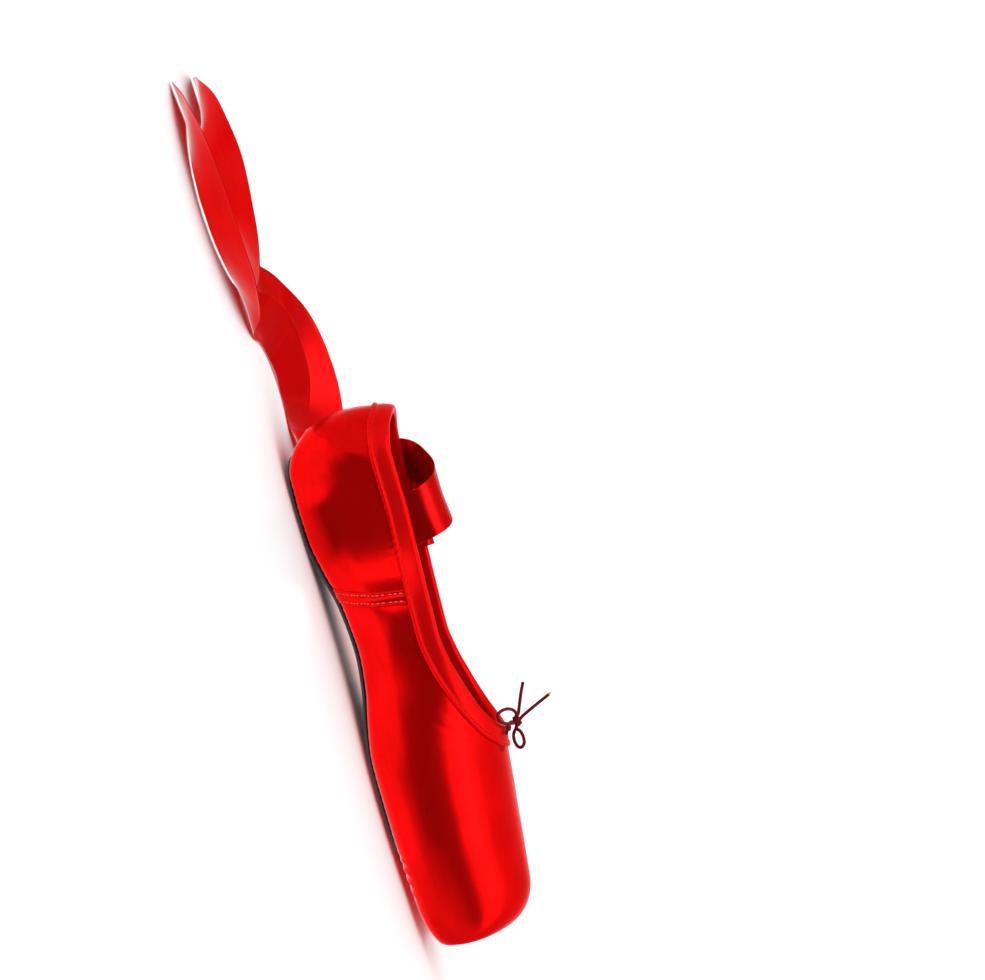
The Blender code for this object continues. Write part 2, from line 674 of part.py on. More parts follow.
def build_ribbons(parts, finish):
    """Each ribbon is a grid, moved on to its route and given its thickness."""
    for name, table in (("ribbon_right", RIBBON_RIGHT), ("ribbon_left", RIBBON_LEFT)):
        route = smooth_route([Vector(row) for row in table], RIBBON_STEP)
        places = [Vector(row[:3]) for row in route]
        last = len(route) - 1
        bm = bmesh.new()
        bmesh.ops.create_grid(bm, x_segments=last, y_segments=1, size=1.0)
        for corner in bm.verts:
            index = round((corner.co.x + 1) / 2 * last)
            along = places[min(last, index + 1)] - places[max(0, index - 1)]
            face = Vector(route[index][3:])
            wide = face.cross(along).normalized()
            corner.co = (places[index] + wide * corner.co.y * RIBBON_WIDTH / 2) * MM
        ribbon = add_object(name, bm, parts, finish)
        thick = ribbon.modifiers.new("thickness", "SOLIDIFY")
        thick.thickness = RIBBON_THICK * MM
        thick.offset = 0.0
        thick.use_even_offset = False


def build_drawstring(parts, finish):
    """The knot is a squeezed ball. Each strand, loop and end is a round cord that meets it."""
    bm = bmesh.new()
    bmesh.ops.create_uvsphere(bm, u_segments=KNOT_SEGMENTS, v_segments=KNOT_RINGS, radius=0.5)
    bmesh.ops.scale(bm, verts=bm.verts, vec=[size * MM for size in KNOT_SIZE])
    bmesh.ops.translate(bm, verts=bm.verts, vec=[place * MM for place in KNOT_PLACE])
    add_object("drawstring_knot", bm, parts, finish)
    for name, points in DRAWSTRING.items():
        route = smooth_route([Vector(point) for point in points], CORD_STEP)
        curve = bpy.data.curves.new("drawstring_" + name, "CURVE")
        curve.dimensions = "3D"
        curve.bevel_depth = CORD_THICK / 2 * MM
        curve.bevel_resolution = 2
        curve.use_fill_caps = True
        spline = curve.splines.new("POLY")
        spline.points.add(len(route) - 1)
        for corner, place in zip(spline.points, route):
            corner.co = (*(place * MM), 1.0)
        curve.materials.append(finish)
        parts.objects.link(bpy.data.objects.new("drawstring_" + name, curve))


def main():
    for existing in list(bpy.data.objects):
        bpy.data.objects.remove(existing)
    parts = new_collection("pointe_shoe")
    cutters = new_collection("cutters")
    satin = material("red_satin", shades(208, 8, 8), 0.34)
    tape = material("binding_satin", shades(213, 16, 17), 0.38)
    leather = material("dark_leather", shades(38, 22, 20), 0.62)
    ribbon = material("ribbon_satin", shades(214, 24, 24), 0.36)
    cord = material("drawstring_cord", shades(120, 16, 22), 0.7)
    board = material("insole_board", shades(214, 197, 170), 0.82)
    build_upper(parts, cutters, satin)
    build_outsole(parts, cutters, leather)
    build_insole(parts, cutters, board)
    build_binding(parts, tape)
    build_side_seams(parts, cutters, satin)
    build_ribbons(parts, ribbon)
    build_drawstring(parts, cord)


main()
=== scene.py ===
import math

import bmesh
import bpy
from mathutils import Matrix, Quaternion, Vector, noise


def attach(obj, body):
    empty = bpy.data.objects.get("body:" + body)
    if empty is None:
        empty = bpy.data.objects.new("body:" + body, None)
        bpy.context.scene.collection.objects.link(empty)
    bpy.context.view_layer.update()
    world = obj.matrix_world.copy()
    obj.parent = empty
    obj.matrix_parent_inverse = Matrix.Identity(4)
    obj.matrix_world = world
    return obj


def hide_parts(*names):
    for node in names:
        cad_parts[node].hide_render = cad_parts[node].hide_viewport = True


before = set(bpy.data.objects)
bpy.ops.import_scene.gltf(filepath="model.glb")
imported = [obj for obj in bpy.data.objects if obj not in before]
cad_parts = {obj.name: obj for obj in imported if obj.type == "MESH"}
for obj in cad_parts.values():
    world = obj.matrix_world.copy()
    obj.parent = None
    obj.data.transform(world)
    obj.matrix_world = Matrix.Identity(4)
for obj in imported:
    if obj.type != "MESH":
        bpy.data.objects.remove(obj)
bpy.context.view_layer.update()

# Upper
# Red satin over canvas with a cotton lining, pasted hard round the toes. Vamp and quarters are sewn together
# inside out on a straight last, turned, and pleated in under the sole. The collar is cut as a deep U.
MM = 0.001
LENGTH = 235.0
ORIGIN_STATION = LENGTH / 2 + 0.5
HEEL_BACK_HEIGHT = 30.0
HEEL_LOW_ROUND = 24.6
HEEL_HIGH_ROUND = 38.0
HEEL_SIDE_ROUND = 27.0
TOE_ROUND = 20.0
TOE_TOP_DROP = 20.5
TOE_BOTTOM_RISE = 5.2
TOE_SIDE_ROUND = 10.0
TOE_SIDE_INSET = 4.0
PLATFORM_LEAN = math.radians(5.0)
LEAN_START = 195.0
LEAN_HEIGHT = 19.0
SECTION_COLUMNS = ("station", "half_width", "flat", "bottom", "widest", "top", "wall")
SECTIONS = (
    (0.0, 26.5, 15.0, 2.3, 20.0, 73.0, 1.6),
    (25.0, 27.6, 19.5, 2.3, 20.0, 75.0, 1.6),
    (50.0, 27.6, 19.5, 2.3, 20.0, 75.0, 1.6),
    (65.0, 26.9, 17.5, 4.4, 21.0, 74.0, 1.5),
    (82.0, 26.2, 15.0, 7.8, 23.0, 72.0, 1.5),
    (102.0, 26.8, 14.5, 9.0, 23.8, 68.5, 1.5),
    (118.0, 29.2, 17.0, 7.6, 22.8, 65.0, 1.6),
    (134.0, 33.2, 21.5, 4.5, 20.4, 61.6, 1.9),
    (148.0, 36.8, 25.0, 2.6, 18.9, 59.2, 2.4),
    (158.0, 38.4, 26.0, 2.3, 18.5, 58.1, 2.8),
    (168.0, 39.0, 26.0, 2.3, 18.5, 57.0, 3.0),
    (186.0, 37.4, 24.8, 2.3, 18.5, 54.9, 3.2),
    (200.0, 34.6, 22.6, 2.6, 18.6, 53.2, 3.6),
    (215.0, 30.6, 20.0, 3.1, 18.6, 51.2, 4.2),
    (235.0, 24.6, 16.0, 3.8, 18.6, 49.4, 5.0),
)
COLLAR_COLUMNS = ("station", "height")
COLLAR = (
    (0.0, 53.6),
    (6.0, 51.2),
    (14.0, 48.4),
    (26.0, 46.8),
    (45.0, 46.9),
    (69.0, 45.7),
    (92.0, 44.6),
    (104.0, 44.2),
    (115.0, 45.5),
    (126.0, 48.1),
    (136.0, 51.0),
    (145.0, 54.6),
    (152.0, 58.6),
    (160.0, 64.0),
)
SOLE_COLUMNS = ("station", "outsole", "opening", "insole")
SOLES = (
    (14.0, 17.5, 12.0, 20.0),
    (30.0, 18.6, 13.2, 22.0),
    (50.0, 18.4, 12.8, 22.0),
    (68.0, 15.2, 9.8, 20.0),
    (84.0, 13.0, 8.0, 17.4),
    (102.0, 12.5, 7.5, 17.0),
    (118.0, 14.6, 9.4, 19.6),
    (136.0, 19.4, 13.6, 24.2),
    (154.0, 23.2, 17.2, 28.0),
    (168.0, 24.0, 18.0, 28.6),
    (182.0, 22.6, 16.4, 27.2),
    (200.0, 18.6, 13.0, 24.0),
    (222.0, 16.0, 10.0, 18.0),
)
OPENING_ENDS = (25.0, 189.0)
OUTSOLE_ENDS = (14.0, 199.0)

FLAT_SHARE = 0.25  # of the way from the middle of the underside, which is turn 0, to the ridge, turn 1
CORNER_SHARE = 0.26  # and of the way round the corner, up to the widest point
HOLLOW_FLAT = 0.6  # of the wall's thickness, by which the hollow's flat is narrower
SOFTEN = 6.0  # the last's sizes are averaged over this length
FINE_STEP = 0.5


def eased(table, columns, name, station):
    """A column's value between its rows, on a smooth curve that never overshoots a row."""
    column = columns.index(name)
    rows = len(table)
    first = 0
    while first < rows - 2 and station > table[first + 1][0]:
        first += 1

    def slope(row):
        return (table[row + 1][column] - table[row][column]) / (table[row + 1][0] - table[row][0])

    def tangent(row):
        if row in (0, rows - 1):
            return slope(min(row, rows - 2))
        before, after = slope(row - 1), slope(row)
        return 0.0 if before * after <= 0 else 2 * before * after / (before + after)

    run = table[first + 1][0] - table[first][0]
    part = (station - table[first][0]) / run
    start, end = table[first][column], table[first + 1][column]
    lift = (end - start) * part * part * (3 - 2 * part)
    lift += tangent(first) * run * part * (1 - part) ** 2
    lift -= tangent(first + 1) * run * part * part * (1 - part)
    return start + lift


def rounding(distance, reach):
    """A quarter ellipse: 0 at the end of a form, 1 from reach onwards."""
    if distance >= reach:
        return 1.0
    return math.sqrt(max(0.0, 1 - ((reach - distance) / reach) ** 2))


def softened(station):
    """The last's sizes at a station, averaged so that no row shows as a line in the gloss."""
    spots = [min(LENGTH, max(0.0, station + SOFTEN * step / 4)) for step in (-2, -1, 0, 1, 2)]
    sizes = []
    for name in SECTION_COLUMNS[1:]:
        sizes.append(sum(eased(SECTIONS, SECTION_COLUMNS, name, spot) for spot in spots) / len(spots))
    return sizes


last_sizes = [softened(step * FINE_STEP) for step in range(int(LENGTH / FINE_STEP) + 1)]


def section(station, wall=0.0):
    """Half width, flat, bottom, widest and top of the last, or of the hollow that a wall leaves in it."""
    place = min(LENGTH, max(0.0, station)) / FINE_STEP
    first = min(len(last_sizes) - 2, int(place))
    part = place - first
    sizes = [low + (high - low) * part for low, high in zip(last_sizes[first], last_sizes[first + 1])]
    half_width, flat, bottom, widest, top, _ = sizes
    low = rounding(station, HEEL_LOW_ROUND)
    high = rounding(station, HEEL_HIGH_ROUND)
    side = rounding(station, HEEL_SIDE_ROUND)
    toe = 1 - rounding(LENGTH - station, TOE_ROUND)
    toe_side = TOE_SIDE_INSET * (1 - rounding(LENGTH - station, TOE_SIDE_ROUND))
    bottom = HEEL_BACK_HEIGHT + (bottom + wall - HEEL_BACK_HEIGHT) * low + TOE_BOTTOM_RISE * toe
    widest = HEEL_BACK_HEIGHT + (widest - HEEL_BACK_HEIGHT) * low
    top = HEEL_BACK_HEIGHT + (top - wall - HEEL_BACK_HEIGHT) * high - TOE_TOP_DROP * toe
    flat = (flat - wall * HOLLOW_FLAT) * min(low, side) - toe_side
    half_width = (half_width - wall) * side - toe_side
    return half_width, flat, bottom, widest, top


def wall_at(station):
    return last_sizes[min(len(last_sizes) - 1, int(station / FINE_STEP))][-1]


def last_point(station, turn, wall=0.0):
    """A point of the last in millimetres. Turn goes from 0 under the sole, up the left side, to 1 on the
    ridge, and up the right side to -1."""
    half_width, flat, bottom, widest, top = section(station, wall)
    part = abs(turn)
    if part <= FLAT_SHARE:
        across, height = flat * part / FLAT_SHARE, bottom
    elif part <= FLAT_SHARE + CORNER_SHARE:
        angle = math.pi / 2 * (part - FLAT_SHARE) / CORNER_SHARE
        across = flat + (half_width - flat) * math.sin(angle)
        height = widest - (widest - bottom) * math.cos(angle)
    else:
        angle = math.pi / 2 * (part - FLAT_SHARE - CORNER_SHARE) / (1 - FLAT_SHARE - CORNER_SHARE)
        across = half_width * math.cos(angle)
        height = widest + (top - widest) * math.sin(angle)
    lean = min(1.0, max(0.0, (station - LEAN_START) / (LENGTH - LEAN_START)))
    lean = lean * lean * (3 - 2 * lean)
    forward = station + wall * (1 - 2 * station / LENGTH)
    forward += math.tan(PLATFORM_LEAN) * lean * (height - LEAN_HEIGHT)
    return Vector((forward - ORIGIN_STATION, math.copysign(across, turn), height))


def slopes_at(station, turn):
    """How the last's point moves with the station and with the turn."""
    step, turn_step = 0.02, 0.0005
    back, ahead = max(0.0, station - step), min(LENGTH, station + step)
    along = (last_point(ahead, turn) - last_point(back, turn)) / (ahead - back)
    high = turn + turn_step
    high -= 2 if high > 1 else 0
    across = (last_point(station, high) - last_point(station, turn - turn_step)) / (2 * turn_step)
    return along, across


def outward(station, turn):
    along, across = slopes_at(station, turn)
    return across.cross(along).normalized()


def on_last(station, turn, height=0.0):
    """A point above the last's surface, in millimetres."""
    return last_point(station, turn) + outward(station, turn) * height


def collar_turn(station):
    """The turn at which the collar's edge crosses a station."""
    _, _, _, widest, top = section(station)
    sine = (eased(COLLAR, COLLAR_COLUMNS, "height", station) - widest) / max(0.01, top - widest)
    side = math.asin(min(1.0, max(0.0, sine))) / (math.pi / 2)
    return FLAT_SHARE + CORNER_SHARE + (1 - FLAT_SHARE - CORNER_SHARE) * side


def ridge_crossing(low, high, rising):
    """The station where the collar's edge meets the ridge, by halving."""
    for _ in range(40):
        middle = (low + high) / 2
        above = eased(COLLAR, COLLAR_COLUMNS, "height", middle) > section(middle)[-1]
        if above == rising:
            high = middle
        else:
            low = middle
    return (low + high) / 2


collar_back = ridge_crossing(0.5, 30.0, False)
collar_throat = ridge_crossing(140.0, 165.0, True)


def sole_half_width(column, ends, station):
    """Half the width of the outsole, the opening or the insole, with both ends round."""
    if not ends[0] < station < ends[1]:
        return 0.0
    width = eased(SOLES, SOLE_COLUMNS, column, station)
    return width * min(rounding(station - ends[0], width), rounding(ends[1] - station, width))


def laid_grid(bm, columns, rows, place, chart):
    """A flat grid, moved corner by corner to where place says. The chart gives each corner's place on the
    flat cloth, in metres, as its UV."""
    sheet = bm.loops.layers.uv.get("cloth") or bm.loops.layers.uv.new("cloth")
    made = bmesh.ops.create_grid(bm, x_segments=columns, y_segments=rows, size=1.0)["verts"]
    spots = {}
    for corner in made:
        i, j = round((corner.co.x + 1) / 2 * columns), round((corner.co.y + 1) / 2 * rows)
        spots[corner] = (i, j)
    faces = {face for corner in made for face in corner.link_faces}
    for face in faces:
        for loop in face.loops:
            loop[sheet].uv = chart(*spots[loop.vert])
    for corner, spot in spots.items():
        corner.co = place(*spot)
    return spots


def finish_piece(name, bm, finishes, nodes=()):
    """Turns a bmesh in millimetres into a piece of the shoe in metres."""
    bmesh.ops.scale(bm, verts=bm.verts, vec=(MM, MM, MM))
    mesh = bpy.data.meshes.new(name)
    bm.to_mesh(mesh)
    bm.free()
    mesh.shade_smooth()
    for finish in finishes:
        mesh.materials.append(finish)
    piece = bpy.data.objects.new(name, mesh)
    bpy.context.scene.collection.objects.link(piece)
    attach(piece, "root")
    if nodes:
        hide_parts(*nodes)
    return piece


def bell(away, width):
    """1 at no distance away, and softly down to almost 0 at twice the width."""
    return math.exp(-((away / width) ** 2))


def soft_line(x, z, start, end, width):
    """1 on the line from start to end in the side view, and less to its sides and past its ends."""
    run = Vector(end) - Vector(start)
    offset = Vector((x, z)) - Vector(start)
    part = min(1.0, max(0.0, offset.dot(run) / run.length_squared))
    return bell((offset - run * part).length, width)


# The folds and creases of the satin, a row for each: which side (-1 right, 1 left, 0 both), start and end in
# the side view (station, height), half the width, and the height, which is below 0 for a trough.
FOLDS = (
    (-1, (6.0, 11.5), (36.0, 7.6), 0.9, -0.35),
    (-1, (5.0, 14.0), (12.0, 23.0), 2.4, 0.5),
    (-1, (12.0, 23.0), (29.0, 42.0), 2.4, 0.6),
    (-1, (33.0, 22.0), (38.0, 9.0), 7.0, 0.9),
    (-1, (94.0, 27.0), (124.0, 16.0), 5.0, 0.3),
    (-1, (140.0, 34.0), (151.0, 46.0), 1.3, -0.12),
    (-1, (136.0, 38.0), (146.0, 47.0), 1.2, -0.10),
    (-1, (222.0, 9.0), (227.0, 12.0), 1.0, -0.25),
    (1, (7.0, 12.0), (34.0, 8.0), 0.9, -0.3),
    (1, (10.0, 20.0), (30.0, 35.0), 3.4, 0.55),
    (1, (32.0, 22.0), (37.0, 10.0), 7.0, 0.8),
    (1, (94.0, 27.0), (124.0, 15.0), 5.0, 0.35),
    (1, (138.0, 34.0), (149.0, 45.0), 0.9, -0.2),
)
CLOTH_WAVE = ((26.0, 0.16), (9.0, 0.06))  # size and height of the satin's slight unevenness
DEEPEST = 0.9  # no fold goes deeper into the wall


def ramp(value, start, end):
    """A smooth step: 0 up to start and 1 from end."""
    part = min(1.0, max(0.0, (value - start) / (end - start)))
    return part * part * (3 - 2 * part)


def band(value, start, full, last, end):
    """1 from full to last, and smoothly down to 0 at start and at end."""
    return ramp(value, start, full) * (1 - ramp(value, last, end))


# Under the toes the satin is folded in fine pleats, which fan out from one place.
PLEAT_CENTRE = 190.0
PLEAT_FAN = 6.0  # the pleats run together this far behind their centre
PLEATS = 40
PLEAT_HEIGHT = 0.32
PLEAT_RINGS = (7.0, 14.0, 26.0, 34.0)  # from the centre: where they start, are full, are full last and end
PLEAT_FRONT = (184.0, 194.0)
LOW_DOWN = (9.0, 17.0)  # heights between which what belongs to the underside fades out


def pleating(x, point):
    reach = math.hypot(x - PLEAT_CENTRE, point.y)
    fan = math.atan2(point.y, x - PLEAT_CENTRE + PLEAT_FAN)
    wave = 1 - 2 * abs(math.sin(PLEATS / 2 * fan + 0.8 * noise.noise(point / 11)))
    return PLEAT_HEIGHT * wave * band(reach, *PLEAT_RINGS) * ramp(x, *PLEAT_FRONT)


# At the sole's edge it is gathered a little, from the heel to the pleats.
GATHER_STEP = 3.3
GATHER_HEIGHT = 0.14
GATHER_BAND = (-3.0, 0.0, 1.0, 9.0)  # from the outsole's edge


def edge_gathers(x, point):
    edge = abs(point.y) - sole_half_width("outsole", OUTSOLE_ENDS, x)
    wave = math.cos(2 * math.pi * (x + 3 * noise.noise(point / 14)) / GATHER_STEP)
    return GATHER_HEIGHT * wave * band(edge, *GATHER_BAND)


# The side seams' stitches draw the satin in on both sides, a little further out on the quarter's.
SEAM_TOP, SEAM_FOOT = (85.1, 35.0), (75.9, 9.0)  # the side seam in the side view
SEAM_DRAW, QUARTER_REACH, VAMP_REACH = 0.8, 5.5, 4.5
SEAM_CREASE, CREASE_REACH = 0.15, 2.0
SEAM_HEIGHTS = (4.0, 12.0)


def seam_draw(x, z):
    slant = (SEAM_FOOT[0] - SEAM_TOP[0]) / (SEAM_FOOT[1] - SEAM_TOP[1])
    away = x - SEAM_TOP[0] - (z - SEAM_TOP[1]) * slant
    drawn = SEAM_DRAW * bell(away, QUARTER_REACH if away < 0 else VAMP_REACH)
    return (drawn + SEAM_CREASE * bell(away, CREASE_REACH)) * ramp(z, *SEAM_HEIGHTS)


# The seam up the back of the heel is a fine groove between two soft ridges.
GROOVE_DEPTH, GROOVE_WIDTH, GROOVE_FOOT = 0.45, 0.55, (2.0, 6.0)
RIDGE_HEIGHT, RIDGE_AWAY, RIDGE_WIDTH = 0.12, 1.6, 0.9
HEEL_SEAM_END = 20.0


def heel_seam(y, z):
    groove = GROOVE_DEPTH * bell(y, GROOVE_WIDTH) * ramp(z, *GROOVE_FOOT)
    return RIDGE_HEIGHT * bell(abs(y) - RIDGE_AWAY, RIDGE_WIDTH) - groove


# The casing's stitches pucker the quarters under the collar.
BINDING_WIDTH = 8.5
GATHER_PITCH = 2.9
COLLAR_REACH = 15.0  # how far below the collar's edge the puckers show
PUCKER_HEIGHT = 0.10
PUCKER_ENDS = (20.0, 90.5)
PUCKER_START = (24.0, 44.0)


def collar_puckers(x, z, point):
    edge = eased(COLLAR, COLLAR_COLUMNS, "height", min(COLLAR[-1][0], max(0.0, x)))
    above = COLLAR_REACH - (edge - z)
    if above <= 0 or not PUCKER_ENDS[0] < x < PUCKER_ENDS[1]:
        return 0.0
    wave = math.cos(2 * math.pi * (x + 1.2 * noise.noise(point / 6)) / GATHER_PITCH)
    wave *= 0.6 + noise.noise(point / 9)
    return PUCKER_HEIGHT * wave * ramp(above, 0.0, 5.0) * ramp(x, *PUCKER_START)


# The box's sides are full above the pleats, and at the waist the satin is drawn in under the arch.
BOX_FULL, BOX_FULL_HEIGHT, BOX_FULL_REACH = 1.0, 9.0, 5.0
BOX_FULL_STATIONS = (130.0, 155.0, 215.0, 232.0)
WAIST_TUCK = 1.2
WAIST_HEIGHTS = (8.5, 12.0, 12.0, 31.0)
WAIST_STATIONS = (83.0, 93.0, 118.0, 134.0)


def cloth_height(point):
    """How far the satin lies above or below the plain last, at a point in millimetres."""
    x, z = point.x + ORIGIN_STATION, point.z
    side = -1 if point.y < 0 else 1
    height = 0.0
    for where, start, end, width, rise in FOLDS:
        if where in (0, side):
            height += rise * soft_line(x, z, start, end, width)
    for size, rise in CLOTH_WAVE:
        height += rise * noise.noise(point / size)
    low = 1 - ramp(z, *LOW_DOWN)
    if low > 0:
        height += pleating(x, point) * low
    if low > 0 and 0 < x < PLEAT_CENTRE:
        height += edge_gathers(x, point) * low
    height += BOX_FULL * bell(z - BOX_FULL_HEIGHT, BOX_FULL_REACH) * band(x, *BOX_FULL_STATIONS)
    height -= WAIST_TUCK * band(z, *WAIST_HEIGHTS) * band(x, *WAIST_STATIONS)
    height -= seam_draw(x, z)
    if x < HEEL_SEAM_END:
        height += heel_seam(point.y, z)
    height += collar_puckers(x, z, point)
    return height if height > 0 else -DEEPEST * (1 - math.exp(height / DEEPEST))


UPPER_ROWS = 88
UPPER_GIRTH = 110.0  # its cloth, from the middle of the underside up to the ridge
HEEL_COLUMNS, TOE_COLUMNS, PLATFORM_COLUMNS = 18, 16, 9
BODY_STEP, PLEAT_STEP, PLEAT_START = 1.2, 0.75, 184.0


def upper_columns():
    """Stations from the heel's back to the platform, and then how far in towards the platform's middle."""
    columns = []
    for step in range(HEEL_COLUMNS):
        columns.append((HEEL_LOW_ROUND * (1 - math.cos(math.pi / 2 * step / HEEL_COLUMNS)), 0.0))
    for start, end, pace in (
        (HEEL_LOW_ROUND, PLEAT_START, BODY_STEP),
        (PLEAT_START, LENGTH - TOE_ROUND, PLEAT_STEP),
    ):
        count = round((end - start) / pace)
        columns += [(start + (end - start) * step / count, 0.0) for step in range(count)]
    for step in range(TOE_COLUMNS + 1):
        columns.append((LENGTH - TOE_ROUND + TOE_ROUND * math.sin(math.pi / 2 * step / TOE_COLUMNS), 0.0))
    for step in range(1, PLATFORM_COLUMNS + 1):
        columns.append((LENGTH, step / PLATFORM_COLUMNS))
    return columns


def upper_place(station, inset, turn, wall=0.0):
    """A point of the upper's outer face, or of its inner one. Inset goes from 0 at the platform's edge to 1
    at its middle."""
    point = last_point(station, turn, wall)
    middle = Vector((LENGTH - wall - ORIGIN_STATION, 0.0, LEAN_HEIGHT))
    return point.lerp(middle, inset)


def build_upper(satin, lining):
    """The outer face is laid on one half of the last, mirrored, and doubled for the inner face. Folds are
    raised on the outer one, and the two are bridged round the collar and round the opening underneath."""
    bm = bmesh.new()
    columns = upper_columns()
    keep = [bm.verts.layers.float.new(name) for name in ("station", "inset", "turn")]

    def turn_at(i, j):
        station = columns[i][0]
        _, flat, _, _, _ = section(station)
        low = FLAT_SHARE * sole_half_width("opening", OPENING_ENDS, station) / max(flat, 1.0)
        high = collar_turn(station) if collar_back < station < collar_throat else 1.0
        return low + (high - low) * j / UPPER_ROWS

    spots = laid_grid(
        bm,
        len(columns) - 1,
        UPPER_ROWS,
        lambda i, j: upper_place(*columns[i], turn_at(i, j)),
        lambda i, j: (columns[i][0] * MM, turn_at(i, j) * UPPER_GIRTH * MM),
    )
    for corner, (i, j) in spots.items():
        for layer, value in zip(keep, (*columns[i], turn_at(i, j))):
            corner[layer] = value
    bmesh.ops.mirror(bm, geom=bm.verts[:] + bm.edges[:] + bm.faces[:], axis="Y", merge_dist=0.001)
    bmesh.ops.remove_doubles(bm, verts=bm.verts, dist=0.001)
    bmesh.ops.recalc_face_normals(bm, faces=bm.faces)
    outer_edges = [edge for edge in bm.edges if edge.is_boundary]
    inner = bmesh.ops.duplicate(bm, geom=bm.verts[:] + bm.edges[:] + bm.faces[:])
    inner_faces = [item for item in inner["geom"] if isinstance(item, bmesh.types.BMFace)]
    inner_verts = {item for item in inner["geom"] if isinstance(item, bmesh.types.BMVert)}
    inner_edges = [inner["edge_map"][edge] for edge in outer_edges]
    for corner in inner_verts:
        station, inset, turn = [corner[layer] for layer in keep]
        sign = -1 if corner.co.y < 0 else 1
        corner.co = upper_place(station, inset, math.copysign(turn, sign), wall_at(station))
    bmesh.ops.reverse_faces(bm, faces=inner_faces)
    for face in inner_faces:
        face.material_index = 1
    bm.normal_update()
    for corner in bm.verts:
        if corner not in inner_verts:
            corner.co += corner.normal * cloth_height(corner.co)
    high = HEEL_BACK_HEIGHT
    for picked in (lambda edge: edge.verts[0].co.z > high, lambda edge: edge.verts[0].co.z < high):
        loops = [edge for edge in outer_edges + inner_edges if picked(edge)]
        bmesh.ops.bridge_loops(bm, edges=loops)
    return finish_piece("upper_satin", bm, (satin, lining), ("upper",))


def feed(tree, socket, value):
    """Gives a socket a value, or links it to another node's output."""
    if isinstance(value, bpy.types.NodeSocket):
        tree.links.new(value, socket)
    else:
        socket.default_value = value


def add_node(tree, kind, options=None, inputs=None):
    """A new node, with its options set and its inputs fed."""
    made = tree.nodes.new(kind)
    for name, value in (options or {}).items():
        setattr(made, name, value)
    for name, value in (inputs or {}).items():
        feed(tree, made.inputs[name], value)
    return made


def new_group(name, inputs, outputs):
    """A shader node group with named sockets, and its own input and output nodes."""
    group = bpy.data.node_groups.new(name, "ShaderNodeTree")
    for label, kind in inputs:
        group.interface.new_socket(name=label, in_out="INPUT", socket_type="NodeSocket" + kind)
    for label, kind in outputs:
        group.interface.new_socket(name=label, in_out="OUTPUT", socket_type="NodeSocket" + kind)
    return group, group.nodes.new("NodeGroupInput").outputs, group.nodes.new("NodeGroupOutput")


def new_finish(name):
    """A material with nodes, and its Principled shader."""
    made = bpy.data.materials.new(name)
    made.use_nodes = True
    return made, made.node_tree, made.node_tree.nodes["Principled BSDF"]


def stretched_noise(tree, cloth, scale, detail=2.0):
    """Noise with its own scale, per metre, along and across the cloth."""
    spread = add_node(tree, "ShaderNodeMapping", None, {"Vector": cloth, "Scale": scale})
    given = {"Vector": spread.outputs[0], "Scale": 1.0, "Detail": detail}
    return add_node(tree, "ShaderNodeTexNoise", {"noise_dimensions": "3D"}, given).outputs["Fac"]


def spread_out(tree, value, low, high, new_low=0.0, new_high=1.0):
    """The value from low to high, spread over new_low to new_high and held there past its ends."""
    given = {"Value": value, "From Min": low, "From Max": high, "To Min": new_low, "To Max": new_high}
    return add_node(tree, "ShaderNodeMapRange", None, given).outputs[0]


def sums(tree, operation, first, second, third=None):
    """Plain arithmetic on shader values. MULTIPLY_ADD is first times second plus third."""
    made = add_node(tree, "ShaderNodeMath", {"operation": operation}, {0: first, 1: second})
    if third is not None:
        feed(tree, made.inputs[2], third)
    return made.outputs[0]


def blend_colours(tree, part, first, second):
    """The first colour where part is 0, and the second where it is 1."""
    made = add_node(tree, "ShaderNodeMix", {"data_type": "RGBA"}, {"Factor": part})
    feed(tree, made.inputs[6], first)
    feed(tree, made.inputs[7], second)
    return made.outputs[2]


def new_satin_weave():
    """Satin: fine warp threads that float along the cloth, weft behind them, thicker threads here and there,
    and a slow change of tone."""
    inputs = (("Cloth", "Vector"), ("Colour", "Color"), ("Deep", "Color"), ("Roughness", "Float"))
    outputs = (("Colour", "Color"), ("Roughness", "Float"), ("Height", "Float"))
    group, given, made = new_group("satin_weave", inputs, outputs)
    warp = stretched_noise(group, given["Cloth"], (130.0, 2400.0, 1.0), 3.0)
    weft = stretched_noise(group, given["Cloth"], (2000.0, 240.0, 1.0))
    tone = stretched_noise(group, given["Cloth"], (38.0, 60.0, 1.0))
    slub = stretched_noise(group, given["Cloth"], (60.0, 900.0, 1.0))
    slub = spread_out(group, slub, 0.66, 0.8)
    grain = sums(group, "MULTIPLY_ADD", warp, 0.55, sums(group, "MULTIPLY", weft, 0.25))
    # The colour is partly painted shade: it follows the grain, which is also the height, so the threads' low
    # places are painted darker. The tone part is a real slow change of colour.
    part = sums(group, "MULTIPLY_ADD", tone, 0.55, sums(group, "MULTIPLY", grain, 0.9))
    part = spread_out(group, part, 0.38, 0.78)
    group.links.new(blend_colours(group, part, given["Deep"], given["Colour"]), made.inputs["Colour"])
    rough = sums(group, "MULTIPLY_ADD", grain, -0.12, sums(group, "ADD", given["Roughness"], 0.05))
    group.links.new(sums(group, "MULTIPLY_ADD", slub, 0.06, rough), made.inputs["Roughness"])
    group.links.new(sums(group, "MULTIPLY_ADD", slub, 0.35, grain), made.inputs["Height"])
    return group


satin_weave = new_satin_weave()
SATIN_TINT = (1.0, 0.01, 0.01, 1.0)
SATIN_RIM = (0.62, 0.95, 0.1)  # at a glancing look its gloss falls off between these two, to this share


